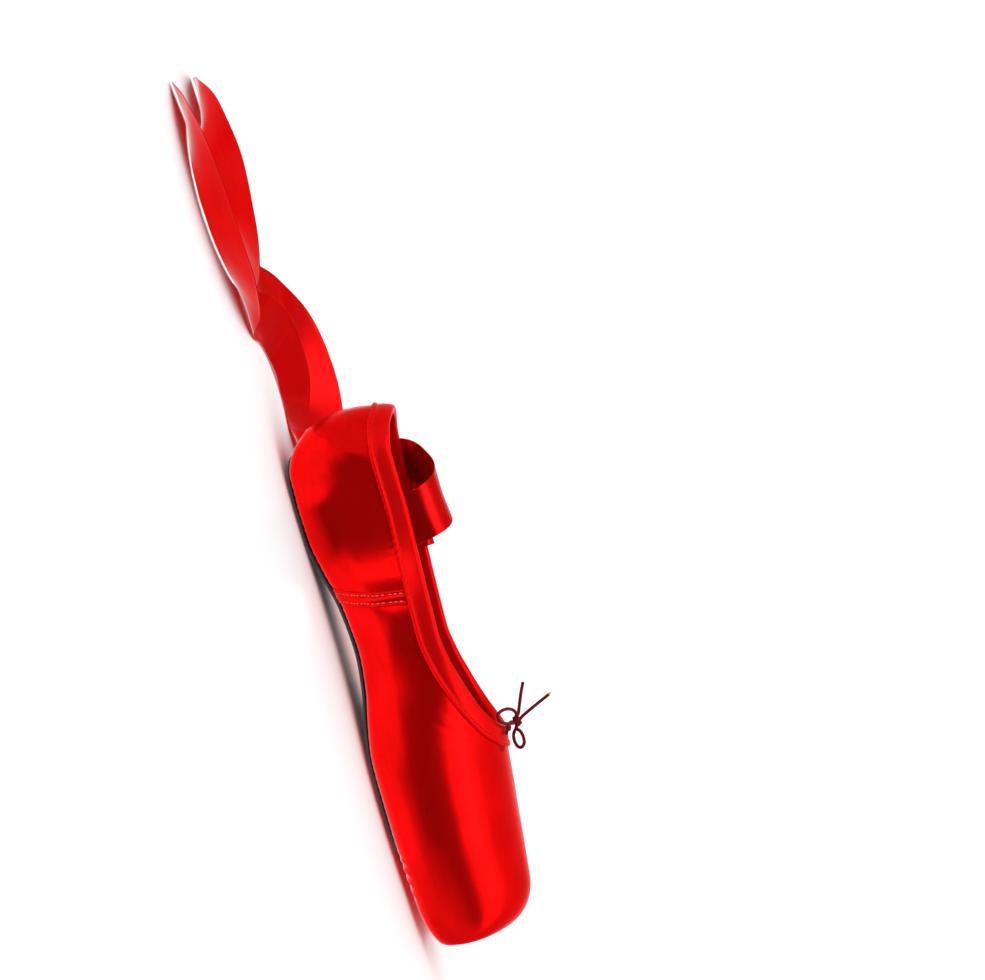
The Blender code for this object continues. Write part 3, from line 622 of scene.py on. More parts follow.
def satin_finish(name, colour, deep, roughness, metallic, depth):
    """Satin reads its threads along the piece's own UV. The floating threads mirror light in their own
    colour, as a metal does."""
    made, tree, shader = new_finish(name)
    cloth = add_node(tree, "ShaderNodeUVMap", {"uv_map": "cloth"})
    weave = add_node(
        tree,
        "ShaderNodeGroup",
        {"node_tree": satin_weave},
        {"Cloth": cloth.outputs[0], "Colour": (*colour, 1.0), "Deep": (*deep, 1.0), "Roughness": roughness},
    )
    bump = add_node(tree, "ShaderNodeBump", None, {"Height": weave.outputs["Height"], "Distance": depth})
    tree.links.new(weave.outputs["Colour"], shader.inputs["Base Color"])
    tree.links.new(weave.outputs["Roughness"], shader.inputs["Roughness"])
    tree.links.new(bump.outputs[0], shader.inputs["Normal"])
    rim = add_node(tree, "ShaderNodeLayerWeight", None, {"Blend": 0.5}).outputs["Facing"]
    start, end, least = SATIN_RIM
    tree.links.new(spread_out(tree, rim, start, end, metallic, least), shader.inputs["Metallic"])
    shader.inputs["Specular Tint"].default_value = SATIN_TINT
    shader.inputs["Specular IOR Level"].default_value = 0.08
    return made


def new_plain_weave():
    """Cotton in plain weave: threads that cross one over one, with thicker ones here and there."""
    inputs = (("Cloth", "Vector"), ("Colour", "Color"), ("Deep", "Color"), ("Thread", "Float"))
    group, given, made = new_group("plain_weave", inputs, (("Colour", "Color"), ("Height", "Float")))
    part = add_node(group, "ShaderNodeSeparateXYZ", None, {0: given["Cloth"]})
    waver = stretched_noise(group, given["Cloth"], (150.0, 150.0, 1.0))
    rows = []
    for axis in ("X", "Y"):
        turns = sums(group, "DIVIDE", part.outputs[axis], given["Thread"])
        turns = sums(group, "MULTIPLY_ADD", waver, 0.8, turns)
        rows.append(sums(group, "SINE", sums(group, "MULTIPLY", turns, math.pi), 0.0))
    crossing = sums(group, "MULTIPLY", rows[0], rows[1])
    raised = sums(group, "MULTIPLY_ADD", crossing, 0.5, 0.5)
    slub = stretched_noise(group, given["Cloth"], (110.0, 1300.0, 1.0))
    height = sums(group, "MULTIPLY_ADD", slub, 0.7, raised)
    tone = stretched_noise(group, given["Cloth"], (45.0, 45.0, 1.0))
    # Painted shade: the colour darkens where the weave's height is low, between the crossings. The tone part
    # is a real slow change of colour.
    tone_and_painted_shade = sums(group, "MULTIPLY_ADD", tone, 0.5, sums(group, "MULTIPLY", height, 0.45))
    group.links.new(blend_colours(group, tone_and_painted_shade, given["Deep"], given["Colour"]), made.inputs["Colour"])
    group.links.new(height, made.inputs["Height"])
    return group


plain_weave = new_plain_weave()


def cotton_finish(name, colour, deep, thread, depth):
    """Cotton reads its threads along the piece's own UV, and has a soft sheen. Thread is in metres."""
    made, tree, shader = new_finish(name)
    cloth = add_node(tree, "ShaderNodeUVMap", {"uv_map": "cloth"})
    weave = add_node(
        tree,
        "ShaderNodeGroup",
        {"node_tree": plain_weave},
        {"Cloth": cloth.outputs[0], "Colour": (*colour, 1.0), "Deep": (*deep, 1.0), "Thread": thread},
    )
    bump = add_node(tree, "ShaderNodeBump", None, {"Height": weave.outputs["Height"], "Distance": depth})
    tree.links.new(weave.outputs["Colour"], shader.inputs["Base Color"])
    tree.links.new(bump.outputs[0], shader.inputs["Normal"])
    shader.inputs["Roughness"].default_value = 0.88
    shader.inputs["Sheen Weight"].default_value = 0.25
    shader.inputs["Sheen Roughness"].default_value = 0.5
    return made


satin = satin_finish(
    "red_satin",
    colour=(0.80, 0.0035, 0.0035),
    deep=(0.60, 0.002, 0.002),
    roughness=0.23,
    metallic=0.74,
    depth=0.00001,
)
lining = cotton_finish(
    "cotton_lining",
    colour=(0.74, 0.66, 0.53),
    deep=(0.50, 0.41, 0.29),
    thread=0.0007,
    depth=0.00012,
)
build_upper(satin, lining)

# Insole
# A card board with a sock of natural cotton, laid in the shoe over the turned-in edges of the upper.
INSOLE_ENDS = (14.0, 218.0)
INSOLE_LIFT = 2.3  # its top over the upper's inner face
INSOLE_COLUMNS = 150
SOCK_ROWS = (
    -1.0, -0.985, -0.95, -0.9, -0.86, -0.82, -0.6, -0.3, 0.0,
    0.3, 0.6, 0.82, 0.86, 0.9, 0.95, 0.985, 1.0,
)
SOCK_EDGE, SOCK_EDGE_DROP = 0.93, 0.7  # its border is pressed down, from this share of the half width out
SOCK_SEAM, SOCK_SEAM_DEPTH, SOCK_SEAM_WIDTH = 0.86, 0.18, 0.02  # the stitched groove inside its border
SOCK_GAP = 0.3  # between it and the upper's inner face


def turn_across(station, across, wall=0.0):
    """The turn of the underside's point at a distance from the middle."""
    half_width, flat, _, _, _ = section(station, wall)
    away = abs(across)
    if away <= flat:
        turn = FLAT_SHARE * away / max(flat, 0.01)
    else:
        angle = math.asin(min(1.0, (away - flat) / max(half_width - flat, 0.01)))
        turn = FLAT_SHARE + CORNER_SHARE * angle / (math.pi / 2)
    return math.copysign(turn, across)


def cosine_stations(ends, columns):
    """Stations from end to end, closer together towards the round ends."""
    start, end = ends
    shares = [(1 - math.cos(math.pi * step / columns)) / 2 for step in range(columns + 1)]
    return [start + (end - start) * share for share in shares]


def flat_piece(bm, ends, columns, column, ring, under, wall=None):
    """A sole or sock: at each station a ring of rows, each of which gives a place across and a height, in
    millimetres, for the station and the piece's half width there."""
    stations = cosine_stations(ends, columns)
    rows = len(ring)

    def place(i, j):
        station = min(ends[1] - 0.01, max(ends[0] + 0.01, stations[i]))
        width = sole_half_width(column, ends, station)
        across, lift = ring[j % rows](station, width)
        depth = wall_at(station) if wall else 0.0
        turn = turn_across(station, across, depth)
        point = last_point(station, turn, depth)
        if under:
            return point + outward(station, turn) * lift
        return point + Vector((0.0, 0.0, lift))

    laid_grid(bm, columns, rows, place, lambda i, j: (stations[i] * MM, j * MM))
    bmesh.ops.remove_doubles(bm, verts=bm.verts, dist=0.002)
    bmesh.ops.dissolve_degenerate(bm, edges=bm.edges, dist=0.001)
    bmesh.ops.recalc_face_normals(bm, faces=bm.faces)


def sock_row(part, top):
    """A row of the sock's top or underside, at a share of the half width."""
    edge = SOCK_EDGE_DROP * ramp(abs(part), SOCK_EDGE, 1.0)
    seam = SOCK_SEAM_DEPTH * bell(abs(part) - SOCK_SEAM, SOCK_SEAM_WIDTH)
    lift = INSOLE_LIFT - edge - seam if top else SOCK_GAP
    return lambda station, width: (width * part, lift)


bm = bmesh.new()
sock_ring = [sock_row(part, True) for part in SOCK_ROWS]
sock_ring += [sock_row(part, False) for part in reversed(SOCK_ROWS)]
flat_piece(bm, INSOLE_ENDS, INSOLE_COLUMNS, "insole", sock_ring, False, wall=True)
sock_cotton = cotton_finish(
    "sock_cotton",
    colour=(0.78, 0.70, 0.57),
    deep=(0.55, 0.46, 0.34),
    thread=0.0008,
    depth=0.00015,
)
finish_piece("insole_sock", bm, (sock_cotton,), ("insole",))

# Outsole
# One piece of dark suede-backed leather, cut narrower than the shoe, skived thin towards the toe, cemented
# over the pleats and stitched in a channel round its edge.
OUTSOLE_THICK = 2.0
OUTSOLE_TOE_THICK = 1.0
OUTSOLE_SKIVE_START = 184.0
OUTSOLE_COLUMNS = 190
OUTSOLE_GAP = 0.3  # between it and the upper
CHANNEL = 3.4  # from the edge
CHANNEL_DEPTH = 0.22
NARROW = 8.0  # where half the sole is narrower than this, its rows draw together


def outsole_thickness(station):
    skive = (station - OUTSOLE_SKIVE_START) / (OUTSOLE_ENDS[1] - OUTSOLE_SKIVE_START)
    return OUTSOLE_THICK + (OUTSOLE_TOE_THICK - OUTSOLE_THICK) * min(1.0, max(0.0, skive))


def outsole_row(inset, part, share, drop):
    """A row at an inset from the edge or, where a part is given, at that part of the way from the middle to
    the channel. It lies at a share of the thickness, less the drop."""
    def row(station, width):
        squeeze = min(1.0, width / NARROW)
        if part is None:
            across = math.copysign(max(0.0, width - abs(inset) * squeeze), inset)
        else:
            across = part * max(0.0, width - (CHANNEL + 1.0) * squeeze)
        return across, OUTSOLE_GAP + outsole_thickness(station) * share - drop
    return row


EDGE_ROWS = ((0.001, 0.06, 0.0), (0.001, 0.45, 0.0), (0.12, 0.8, 0.0), (0.45, 0.97, 0.0), (1.2, 1.0, 0.0))
CHANNEL_ROWS = (
    (CHANNEL - 0.5, 1.0, 0.0),
    (CHANNEL - 0.2, 1.0, CHANNEL_DEPTH),
    (CHANNEL + 0.2, 1.0, CHANNEL_DEPTH),
    (CHANNEL + 0.5, 1.0, 0.0),
)
outsole_ring = []
for inset, share, drop in EDGE_ROWS + CHANNEL_ROWS:
    outsole_ring.append(outsole_row(-inset, None, share, drop))
for step in range(-4, 5):
    outsole_ring.append(outsole_row(0.0, step / 4, 1.0, 0.0))
for inset, share, drop in reversed(EDGE_ROWS + CHANNEL_ROWS):
    outsole_ring.append(outsole_row(inset, None, share, drop))
for step in range(4, -5, -2):
    outsole_ring.append(outsole_row(0.0, step / 4, 0.0, 0.0))
bm = bmesh.new()
flat_piece(bm, OUTSOLE_ENDS, OUTSOLE_COLUMNS, "outsole", outsole_ring, True)


def leather_finish():
    """Suede with a short dark nap underneath, and a smooth burnished edge."""
    made, tree, shader = new_finish("sole_leather")
    place = add_node(tree, "ShaderNodeTexCoord").outputs["Object"]
    facing = add_node(tree, "ShaderNodeNewGeometry").outputs["Normal"]
    down = add_node(tree, "ShaderNodeSeparateXYZ", None, {0: facing}).outputs["Z"]
    edge = spread_out(tree, down, -0.9, -0.55)
    nap = stretched_noise(tree, place, (900.0, 900.0, 900.0), 4.0)
    brushed = stretched_noise(tree, place, (60.0, 260.0, 60.0), 3.0)
    patches = stretched_noise(tree, place, (28.0, 28.0, 28.0), 3.0)
    tone = sums(tree, "MULTIPLY_ADD", patches, 0.6, sums(tree, "MULTIPLY", brushed, 0.5))
    suede = blend_colours(tree, tone, (0.022, 0.012, 0.009, 1.0), (0.075, 0.043, 0.031, 1.0))
    tree.links.new(blend_colours(tree, edge, suede, (0.009, 0.004, 0.0035, 1.0)), shader.inputs["Base Color"])
    rough = sums(tree, "MULTIPLY_ADD", edge, -0.45, sums(tree, "MULTIPLY_ADD", nap, 0.12, 0.82))
    tree.links.new(rough, shader.inputs["Roughness"])
    height = sums(tree, "MULTIPLY", nap, sums(tree, "MULTIPLY_ADD", edge, -0.85, 1.0))
    bump = add_node(tree, "ShaderNodeBump", None, {"Height": height, "Distance": 0.00035})
    tree.links.new(bump.outputs[0], shader.inputs["Normal"])
    return made


sole_leather = leather_finish()
finish_piece("leather_outsole", bm, (sole_leather,), ("outsole",))

# Side seams
# Where vamp and quarters meet, halfway along each side: the quarter's edge is lapped over and held by two
# rows of pale stitches, which draw the satin in a little.
SEAM_TOP_STATION = 88.5
SEAM_FOOT_STATION = 75.5
SEAM_START = Vector((-13.0, 0.0, -30.0))  # the way that it leaves the collar
SEAM_FOOT_TURN = 1.05 * FLAT_SHARE  # it ends just outside the flat of the underside
SEAM_COLUMNS = 70
SEAM_ROW = 0.4
SEAM_PROFILE = (  # across the lap, and its height over the satin
    (-3.3, 0.0), (-3.2, 0.22), (-2.7, 0.42), (-2.1, 0.48), (-1.7, 0.36), (-1.3, 0.5), (-0.6, 0.6), (0.6, 0.6),
    (1.3, 0.5), (1.7, 0.36), (2.1, 0.5), (2.7, 0.62), (3.1, 0.55), (3.3, 0.3), (3.3, -0.1), (-3.3, -0.1),
)
STITCH_AWAY = 1.7  # the two rows of stitches, from the seam's middle
STITCH_PITCH = 1.75
STITCH_SHARES = (0.14, 0.74)  # where in each pitch a stitch starts and ends
STITCH_THREAD, STITCH_HEIGHT = 0.6, 0.5
STITCH_PULL, PULL_REACH = 0.14, 1.4  # each stitch draws the lap down a little


def wrapped(turn):
    """The same turn, brought back between -1 and 1."""
    return turn - 2 if turn > 1 else turn + 2 if turn < -1 else turn


def lengths_along(points):
    """How far along a line each of its points lies."""
    lengths = [0.0]
    for before, after in zip(points, points[1:]):
        lengths.append(lengths[-1] + (after - before).length)
    return lengths


def walk(station, turn, heading, distance):
    """Goes a distance over the last's surface, and gives the station and the turn where it ends."""
    steps = max(1, math.ceil(abs(distance)))
    for _ in range(steps):
        along, across = slopes_at(station, turn)
        normal = across.cross(along).normalized()
        level = (heading - normal * heading.dot(normal)).normalized() * (distance / steps)
        along_square, shared, across_square = along.dot(along), along.dot(across), across.dot(across)
        along_part, across_part = level.dot(along), level.dot(across)
        spread = along_square * across_square - shared * shared
        station += (along_part * across_square - across_part * shared) / spread
        turn = wrapped(turn + (along_square * across_part - shared * along_part) / spread)
    return station, turn


def stitch(bm, start, end, thick):
    """One thread stitch, a slim ball drawn out from start to end."""
    run = end - start
    turned = run.to_track_quat("Z", "Y").to_matrix().to_4x4()
    form = Matrix.Translation((start + end) / 2) @ turned @ Matrix.Diagonal((thick, thick, run.length, 1.0))
    bmesh.ops.create_uvsphere(bm, u_segments=6, v_segments=5, radius=0.5, matrix=form)


def seam_path(sign):
    """The seam's middle as pairs of station and turn, from under the binding down to the underside."""
    top, turn = walk(SEAM_TOP_STATION, collar_turn(SEAM_TOP_STATION), SEAM_START, BINDING_WIDTH - 1.0)
    path = []
    for step in range(SEAM_COLUMNS + 1):
        part = step / SEAM_COLUMNS
        place = top + (SEAM_FOOT_STATION - top) * part
        path.append((place, sign * (turn + (SEAM_FOOT_TURN - turn) * part)))
    return path


def seam_heading(path, index):
    """The way across the seam, towards the vamp."""
    before, after = path[max(0, index - 1)], path[min(len(path) - 1, index + 1)]
    run = last_point(*after) - last_point(*before)
    return outward(*path[index]).cross(run).normalized() * (1 if path[index][1] < 0 else -1)


def thread_finish(name, colour, deep):
    """Sewing thread: fine twisted strands with a soft gloss."""
    made, tree, shader = new_finish(name)
    place = add_node(tree, "ShaderNodeTexCoord").outputs["Object"]
    strands = add_node(
        tree,
        "ShaderNodeTexWave",
        {"wave_type": "BANDS", "bands_direction": "DIAGONAL"},
        {"Vector": place, "Scale": 1700.0, "Distortion": 1.5, "Detail": 1.0},
    ).outputs["Fac"]
    # Painted shade: the thread's colour darkens in the grooves of the twist, where the bump's bands are low.
    tree.links.new(blend_colours(tree, strands, (*deep, 1.0), (*colour, 1.0)), shader.inputs["Base Color"])
    bump = add_node(tree, "ShaderNodeBump", None, {"Height": strands, "Distance": 0.00005})
    tree.links.new(bump.outputs[0], shader.inputs["Normal"])
    tree.links.new(sums(tree, "MULTIPLY_ADD", strands, -0.15, 0.7), shader.inputs["Roughness"])
    shader.inputs["Specular IOR Level"].default_value = 0.12
    return made


thread = thread_finish("pale_thread", colour=(0.88, 0.22, 0.21), deep=(0.62, 0.07, 0.065))
for sign, name in ((1, "left"), (-1, "right")):
    path = seam_path(sign)
    headings = [seam_heading(path, index) for index in range(len(path))]
    lengths = lengths_along([last_point(*place) for place in path])

    def seam_point(i, j):
        across, height = SEAM_PROFILE[j % len(SEAM_PROFILE)]
        draw = 0.5 + 0.5 * math.cos(2 * math.pi * lengths[i] / STITCH_PITCH)
        near = max(0.0, 1 - abs(abs(across) - STITCH_AWAY) / PULL_REACH)
        ends = min(1.0, i / 3, (SEAM_COLUMNS - i) / 3)
        place = walk(*path[i], headings[i], across)
        height = (height - STITCH_PULL * near * draw) * ends + cloth_height(on_last(*place))
        return on_last(*place, height)

    bm = bmesh.new()
    laid_grid(
        bm,
        SEAM_COLUMNS,
        len(SEAM_PROFILE),
        seam_point,
        lambda i, j: (lengths[i] * MM, j * SEAM_ROW * MM),
    )
    bmesh.ops.remove_doubles(bm, verts=bm.verts, dist=0.001)
    bmesh.ops.holes_fill(bm, edges=bm.edges, sides=0)
    bmesh.ops.recalc_face_normals(bm, faces=bm.faces)
    finish_piece("seam_lap_" + name, bm, (satin,), ("side_seam_" + name,))
    bm = bmesh.new()
    count = int(lengths[-1] / STITCH_PITCH)
    for row in (-STITCH_AWAY, STITCH_AWAY):
        for number in range(count):
            ends = []
            for share in STITCH_SHARES:
                length = (number + share) * STITCH_PITCH
                index = min(SEAM_COLUMNS, round(length / lengths[-1] * SEAM_COLUMNS))
                spot = walk(*path[index], headings[index], row)
                ends.append(on_last(*spot, STITCH_HEIGHT + cloth_height(on_last(*spot))))
            stitch(bm, *ends, STITCH_THREAD)
    finish_piece("seam_stitches_" + name, bm, (thread,))

# Binding
# A straight tape of the same satin, folded over the collar's raw edge and stitched through near its lower
# border, which makes the casing of the drawstring. The cord's pull gathers it a little along the quarters.
BINDING_COLUMNS = 460
COLLAR_STEPS = 600
WALK_STEP = 0.5
RAIL_START = 1.5  # the rails start this far above the collar's edge
RAIL_STEPS = 21
FOLD_HEIGHT = 1.15
BINDING_ROW = 0.7
BINDING_OUTER = (  # down from the collar's edge, and the height over the last
    (8.5, 0.12), (8.58, 0.5), (8.4, 0.95), (7.95, 1.3), (7.4, 1.38), (6.9, 1.18), (6.55, 0.84), (6.3, 0.7),
    (6.0, 0.76), (5.4, 0.95), (4.2, 1.1), (2.8, 1.18), (1.6, 1.2), (0.6, 1.17),
)
BINDING_INNER = (
    (0.6, 1.05), (2.0, 1.1), (4.0, 1.05), (5.8, 0.9), (6.3, 0.72), (6.9, 0.95), (7.9, 0.95),
    (8.4, 0.6), (8.4, 0.1),
)
FOLD_ANGLES = (20, 50, 80, 110, 140, 165)
ROLL_START, ROLL_FULL = 5.6, 7.2  # the casing's rolled lower border
ROLL_LIFT, ROLL_SHIFT = 0.13, 0.16  # how the puckers move it
TAPE_WAVE, TAPE_WAVE_SIZE = 0.10, 6.0
RAISED = 0.3  # what lies lower than this is the tape's underside, which stays even
BINDING_STITCH = 1.9
BINDING_GROOVE = 6.28  # the stitches lie in the groove below the cord
BINDING_THREAD, OUTER_STITCH, INNER_STITCH = 0.34, 0.86, 0.78  # thickness, and the heights outside and inside


def collar_places(steps):
    """The collar's edge as pairs of station and turn, once round from the heel's back, and how far along it
    each of them lies."""
    left = []
    for step in range(steps + 1):
        station = collar_back + (collar_throat - collar_back) * (1 - math.cos(math.pi * step / steps)) / 2
        left.append((station, 1.0 if step in (0, steps) else collar_turn(station)))
    loop = left + [(station, -turn) for station, turn in reversed(left[1:-1])] + [left[0]]
    return loop, lengths_along([last_point(*place) for place in loop])


def between(first, second, part):
    """A part of the way from one place to another, by way of the ridge where that is nearer."""
    (station, turn), (other, other_turn) = first, second
    if abs(other_turn - turn) > 1:
        other_turn += 2 if turn > 0 else -2
    return station + (other - station) * part, wrapped(turn + (other_turn - turn) * part)


def along_loop(loop, lengths, length):
    """The station and the turn at a length along the collar."""
    low, high = 0, len(lengths) - 1
    while high - low > 1:
        middle = (low + high) // 2
        low, high = (middle, high) if lengths[middle] <= length else (low, middle)
    return between(loop[low], loop[high], (length - lengths[low]) / (lengths[high] - lengths[low]))


collar_loop, collar_lengths = collar_places(COLLAR_STEPS)
collar_length = collar_lengths[-1]
collar_ring = [
    along_loop(collar_loop, collar_lengths, collar_length * step / BINDING_COLUMNS)
    for step in range(BINDING_COLUMNS)
]
collar_spots = [last_point(*place) for place in collar_ring]


def rails_below(index):
    """Places on the last from a little above the collar's edge down to below the tape, evenly spaced."""
    place = collar_ring[index]
    run = collar_spots[(index + 1) % BINDING_COLUMNS] - collar_spots[index - 1]
    heading = outward(*place).cross(run).normalized()
    rails = [walk(*place, heading, -RAIL_START)]
    for _ in range(RAIL_STEPS):
        rails.append(walk(*rails[-1], heading, WALK_STEP))
    return rails


binding_rails = [rails_below(index) for index in range(BINDING_COLUMNS)]


def on_rail(index, distance, height):
    """A point at a distance below the collar's edge and a height over the plain last."""
    rails = binding_rails[index % BINDING_COLUMNS]
    place = (distance + RAIL_START) / WALK_STEP
    first = min(len(rails) - 2, max(0, int(place)))
    return on_last(*between(rails[first], rails[first + 1], place - first), height)


def gathering(index):
    """The tape's small puckers: 1 on a crest and -1 between, less on the vamp than on the quarters."""
    station, _ = collar_ring[index % BINDING_COLUMNS]
    spot = collar_spots[index % BINDING_COLUMNS]
    length = collar_length * index / BINDING_COLUMNS
    wave = math.cos(2 * math.pi * length / GATHER_PITCH + 2.2 * noise.noise(spot / 7))
    return wave * (0.25 + 0.75 * (1 - ramp(station, 84.0, 104.0))) * (0.7 + 0.5 * noise.noise(spot / 13))


binding_ring = [("outer", *row) for row in BINDING_OUTER]
binding_ring += [("fold", angle, 0.0) for angle in FOLD_ANGLES]
binding_ring += [("inner", *row) for row in BINDING_INNER]
binding_ring += [("inner", 0.3, 0.1), ("fold", 90, -1.0), ("outer", 0.3, 0.05), ("outer", 8.2, 0.05)]


def binding_place(i, j):
    """Fold rows run over the collar's edge by their angle. The others have a distance down from it."""
    kind, distance, height = binding_ring[j % len(binding_ring)]
    wall = wall_at(collar_ring[i % BINDING_COLUMNS][0])
    pull = gathering(i)
    if kind == "fold":
        angle = math.radians(distance)
        reach = FOLD_HEIGHT + height
        across = (wall / 2 + reach) * math.cos(angle) - wall / 2
        return on_rail(i, -reach * math.sin(angle), across)
    if kind == "outer":
        roll = ramp(distance, ROLL_START, ROLL_FULL)
        lift = ROLL_LIFT * pull * roll + TAPE_WAVE * noise.noise(on_rail(i, distance, 0.0) / TAPE_WAVE_SIZE)
        lift *= 1 if height > RAISED else 0
        return on_rail(i, distance + ROLL_SHIFT * pull * roll, height + lift)
    return on_rail(i, distance, -wall - height)


bm = bmesh.new()
laid_grid(
    bm,
    BINDING_COLUMNS,
    len(binding_ring),
    binding_place,
    lambda i, j: (collar_length * i / BINDING_COLUMNS * MM, j * BINDING_ROW * MM),
)
bmesh.ops.remove_doubles(bm, verts=bm.verts, dist=0.001)
bmesh.ops.recalc_face_normals(bm, faces=bm.faces)
tape = satin_finish(
    "binding_satin",
    colour=(0.82, 0.0045, 0.0045),
    deep=(0.64, 0.003, 0.003),
    roughness=0.32,
    metallic=0.6,
    depth=0.00002,
)
finish_piece("binding_tape", bm, (tape,), ("binding",))

bm = bmesh.new()
for number in range(int(collar_length / GATHER_PITCH)):
    first = (number + 0.5 - BINDING_STITCH / GATHER_PITCH / 2) * GATHER_PITCH
    ends = [round(length / collar_length * BINDING_COLUMNS) for length in (first, first + BINDING_STITCH)]
    stitch(bm, *[on_rail(index, BINDING_GROOVE, OUTER_STITCH) for index in ends], BINDING_THREAD)
    walls = [wall_at(collar_ring[index % BINDING_COLUMNS][0]) for index in ends]
    inside = [on_rail(index, BINDING_GROOVE, -wall - INNER_STITCH) for index, wall in zip(ends, walls)]
    stitch(bm, *inside, BINDING_THREAD)
red_thread = thread_finish("red_thread", colour=(0.84, 0.03, 0.03), deep=(0.55, 0.006, 0.006))
finish_piece("binding_stitches", bm, (red_thread,))

# Drawstring
# One thin braided cord runs in the casing all the way round. Its two ends come out at the throat, are tied in
# a small knot with two short loops, and stand up stiffly. One tip is singed, the other dipped in lacquer.
CORD_THICK = 1.5
CORD_STEP = 0.5
CORD_SIDES = 12
KNOT_PLACE = Vector((33.0, -1.0, 65.0))
KNOT_AXIS = Vector((-0.5, 0.1, 0.86))
LONG_CORD = (
    (25.0, -5.0, 83.0), (27.6, -3.6, 77.0), (30.0, -2.4, 71.5), (31.9, -1.5, 67.5), (33.8, -1.4, 65.0),
    (35.9, -1.9, 63.9), (37.8, -2.7, 65.2), (40.4, -3.0, 65.7), (43.2, -2.6, 65.2), (44.6, -1.6, 63.4),
    (43.6, -0.8, 61.9), (41.0, -0.4, 61.3), (38.2, 0.0, 61.8), (36.0, 0.2, 63.5), (33.0, -1.0, 65.3),
    (30.4, -2.6, 65.6), (28.2, -4.4, 65.2), (26.6, -7.4, 63.4), (26.2, -11.0, 60.9), (27.2, -13.9, 58.9),
    (29.4, -14.2, 58.6), (31.2, -12.2, 59.5), (32.4, -9.2, 61.0), (33.0, -6.2, 62.6), (33.4, -3.2, 63.5),
    (32.9, -1.4, 62.9), (33.4, -3.6, 60.9), (34.4, -5.8, 60.4), (35.6, -7.8, 60.1), (36.6, -9.4, 59.4),
)
SHORT_CORD_END = ((17.6, 3.0, 72.0), (22.0, 2.0, 69.8), (26.6, 0.7, 67.8), (30.5, -0.4, 66.1))
SHORT_CORD_STRAND = (
    (33.1, 0.6, 62.6), (33.5, 2.6, 61.2), (34.6, 5.0, 60.6), (35.9, 7.0, 60.2), (36.8, 8.5, 59.6),
)
WRAP_RADIUS = 1.75
WRAP_TURNS, WRAP_START = 1.5, 2.4  # whole turns, and the angle where they start
WRAP_RISE = 1.8  # from the first wrap to the last, along the knot
WRAP_POINTS = 14
TIP_ROUND = 0.5


def smooth_route(points, step):
    """Points about a step apart on a smooth curve through a route's own points."""
    ends = [points[0] * 2 - points[1]] + list(points) + [points[-1] * 2 - points[-2]]
    route = []
    for before, start, end, after in zip(ends, ends[1:], ends[2:], ends[3:]):
        pieces = max(1, round((end - start).length / step))
        for piece in range(pieces):
            part = piece / pieces
            lead = (end - before) * (part * (1 - part) ** 2 / 2)
            trail = (after - start) * (part * part * (1 - part) / 2)
            route.append(start + (end - start) * part * part * (3 - 2 * part) + lead - trail)
    return route + [points[-1]]


def route_frames(route):
    """For each point of a route two directions across it, carried along without twisting."""
    frames = []
    across = None
    for index, point in enumerate(route):
        run = (route[min(len(route) - 1, index + 1)] - route[max(0, index - 1)]).normalized()
        if across is None:
            across = run.orthogonal()
        across = (across - run * across.dot(run)).normalized()
        frames.append((across, run.cross(across)))
    return frames


def tube(bm, route, radius, sides, tip):
    """A round cord along a route. The tip is the length over which each end is rounded off."""
    frames = route_frames(route)
    lengths = lengths_along(route)

    def place(i, j):
        turn = 2 * math.pi * j / sides
        size = radius * rounding(lengths[i], tip) * rounding(lengths[-1] - lengths[i], tip)
        first, second = frames[i]
        return route[i] + (first * math.cos(turn) + second * math.sin(turn)) * size

    laid_grid(
        bm,
        len(route) - 1,
        sides,
        place,
        lambda i, j: (lengths[i] * MM, j / sides * 2 * math.pi * radius * MM),
    )
    bmesh.ops.remove_doubles(bm, verts=bm.verts, dist=0.0005)
    bmesh.ops.recalc_face_normals(bm, faces=bm.faces)


def knot_wraps():
    """The short end's turns round the knot's middle."""
    axis = KNOT_AXIS.normalized()
    first = axis.orthogonal().normalized()
    second = axis.cross(first)
    points = []
    for step in range(WRAP_POINTS):
        part = step / (WRAP_POINTS - 1)
        angle = 2 * math.pi * WRAP_TURNS * part + WRAP_START
        away = (first * math.cos(angle) + second * math.sin(angle)) * WRAP_RADIUS
        points.append(KNOT_PLACE + away + axis * WRAP_RISE * (0.5 - part))
    return points


BRAID_LENGTH = 0.0013
BRAID_STRANDS = 4  # each way round


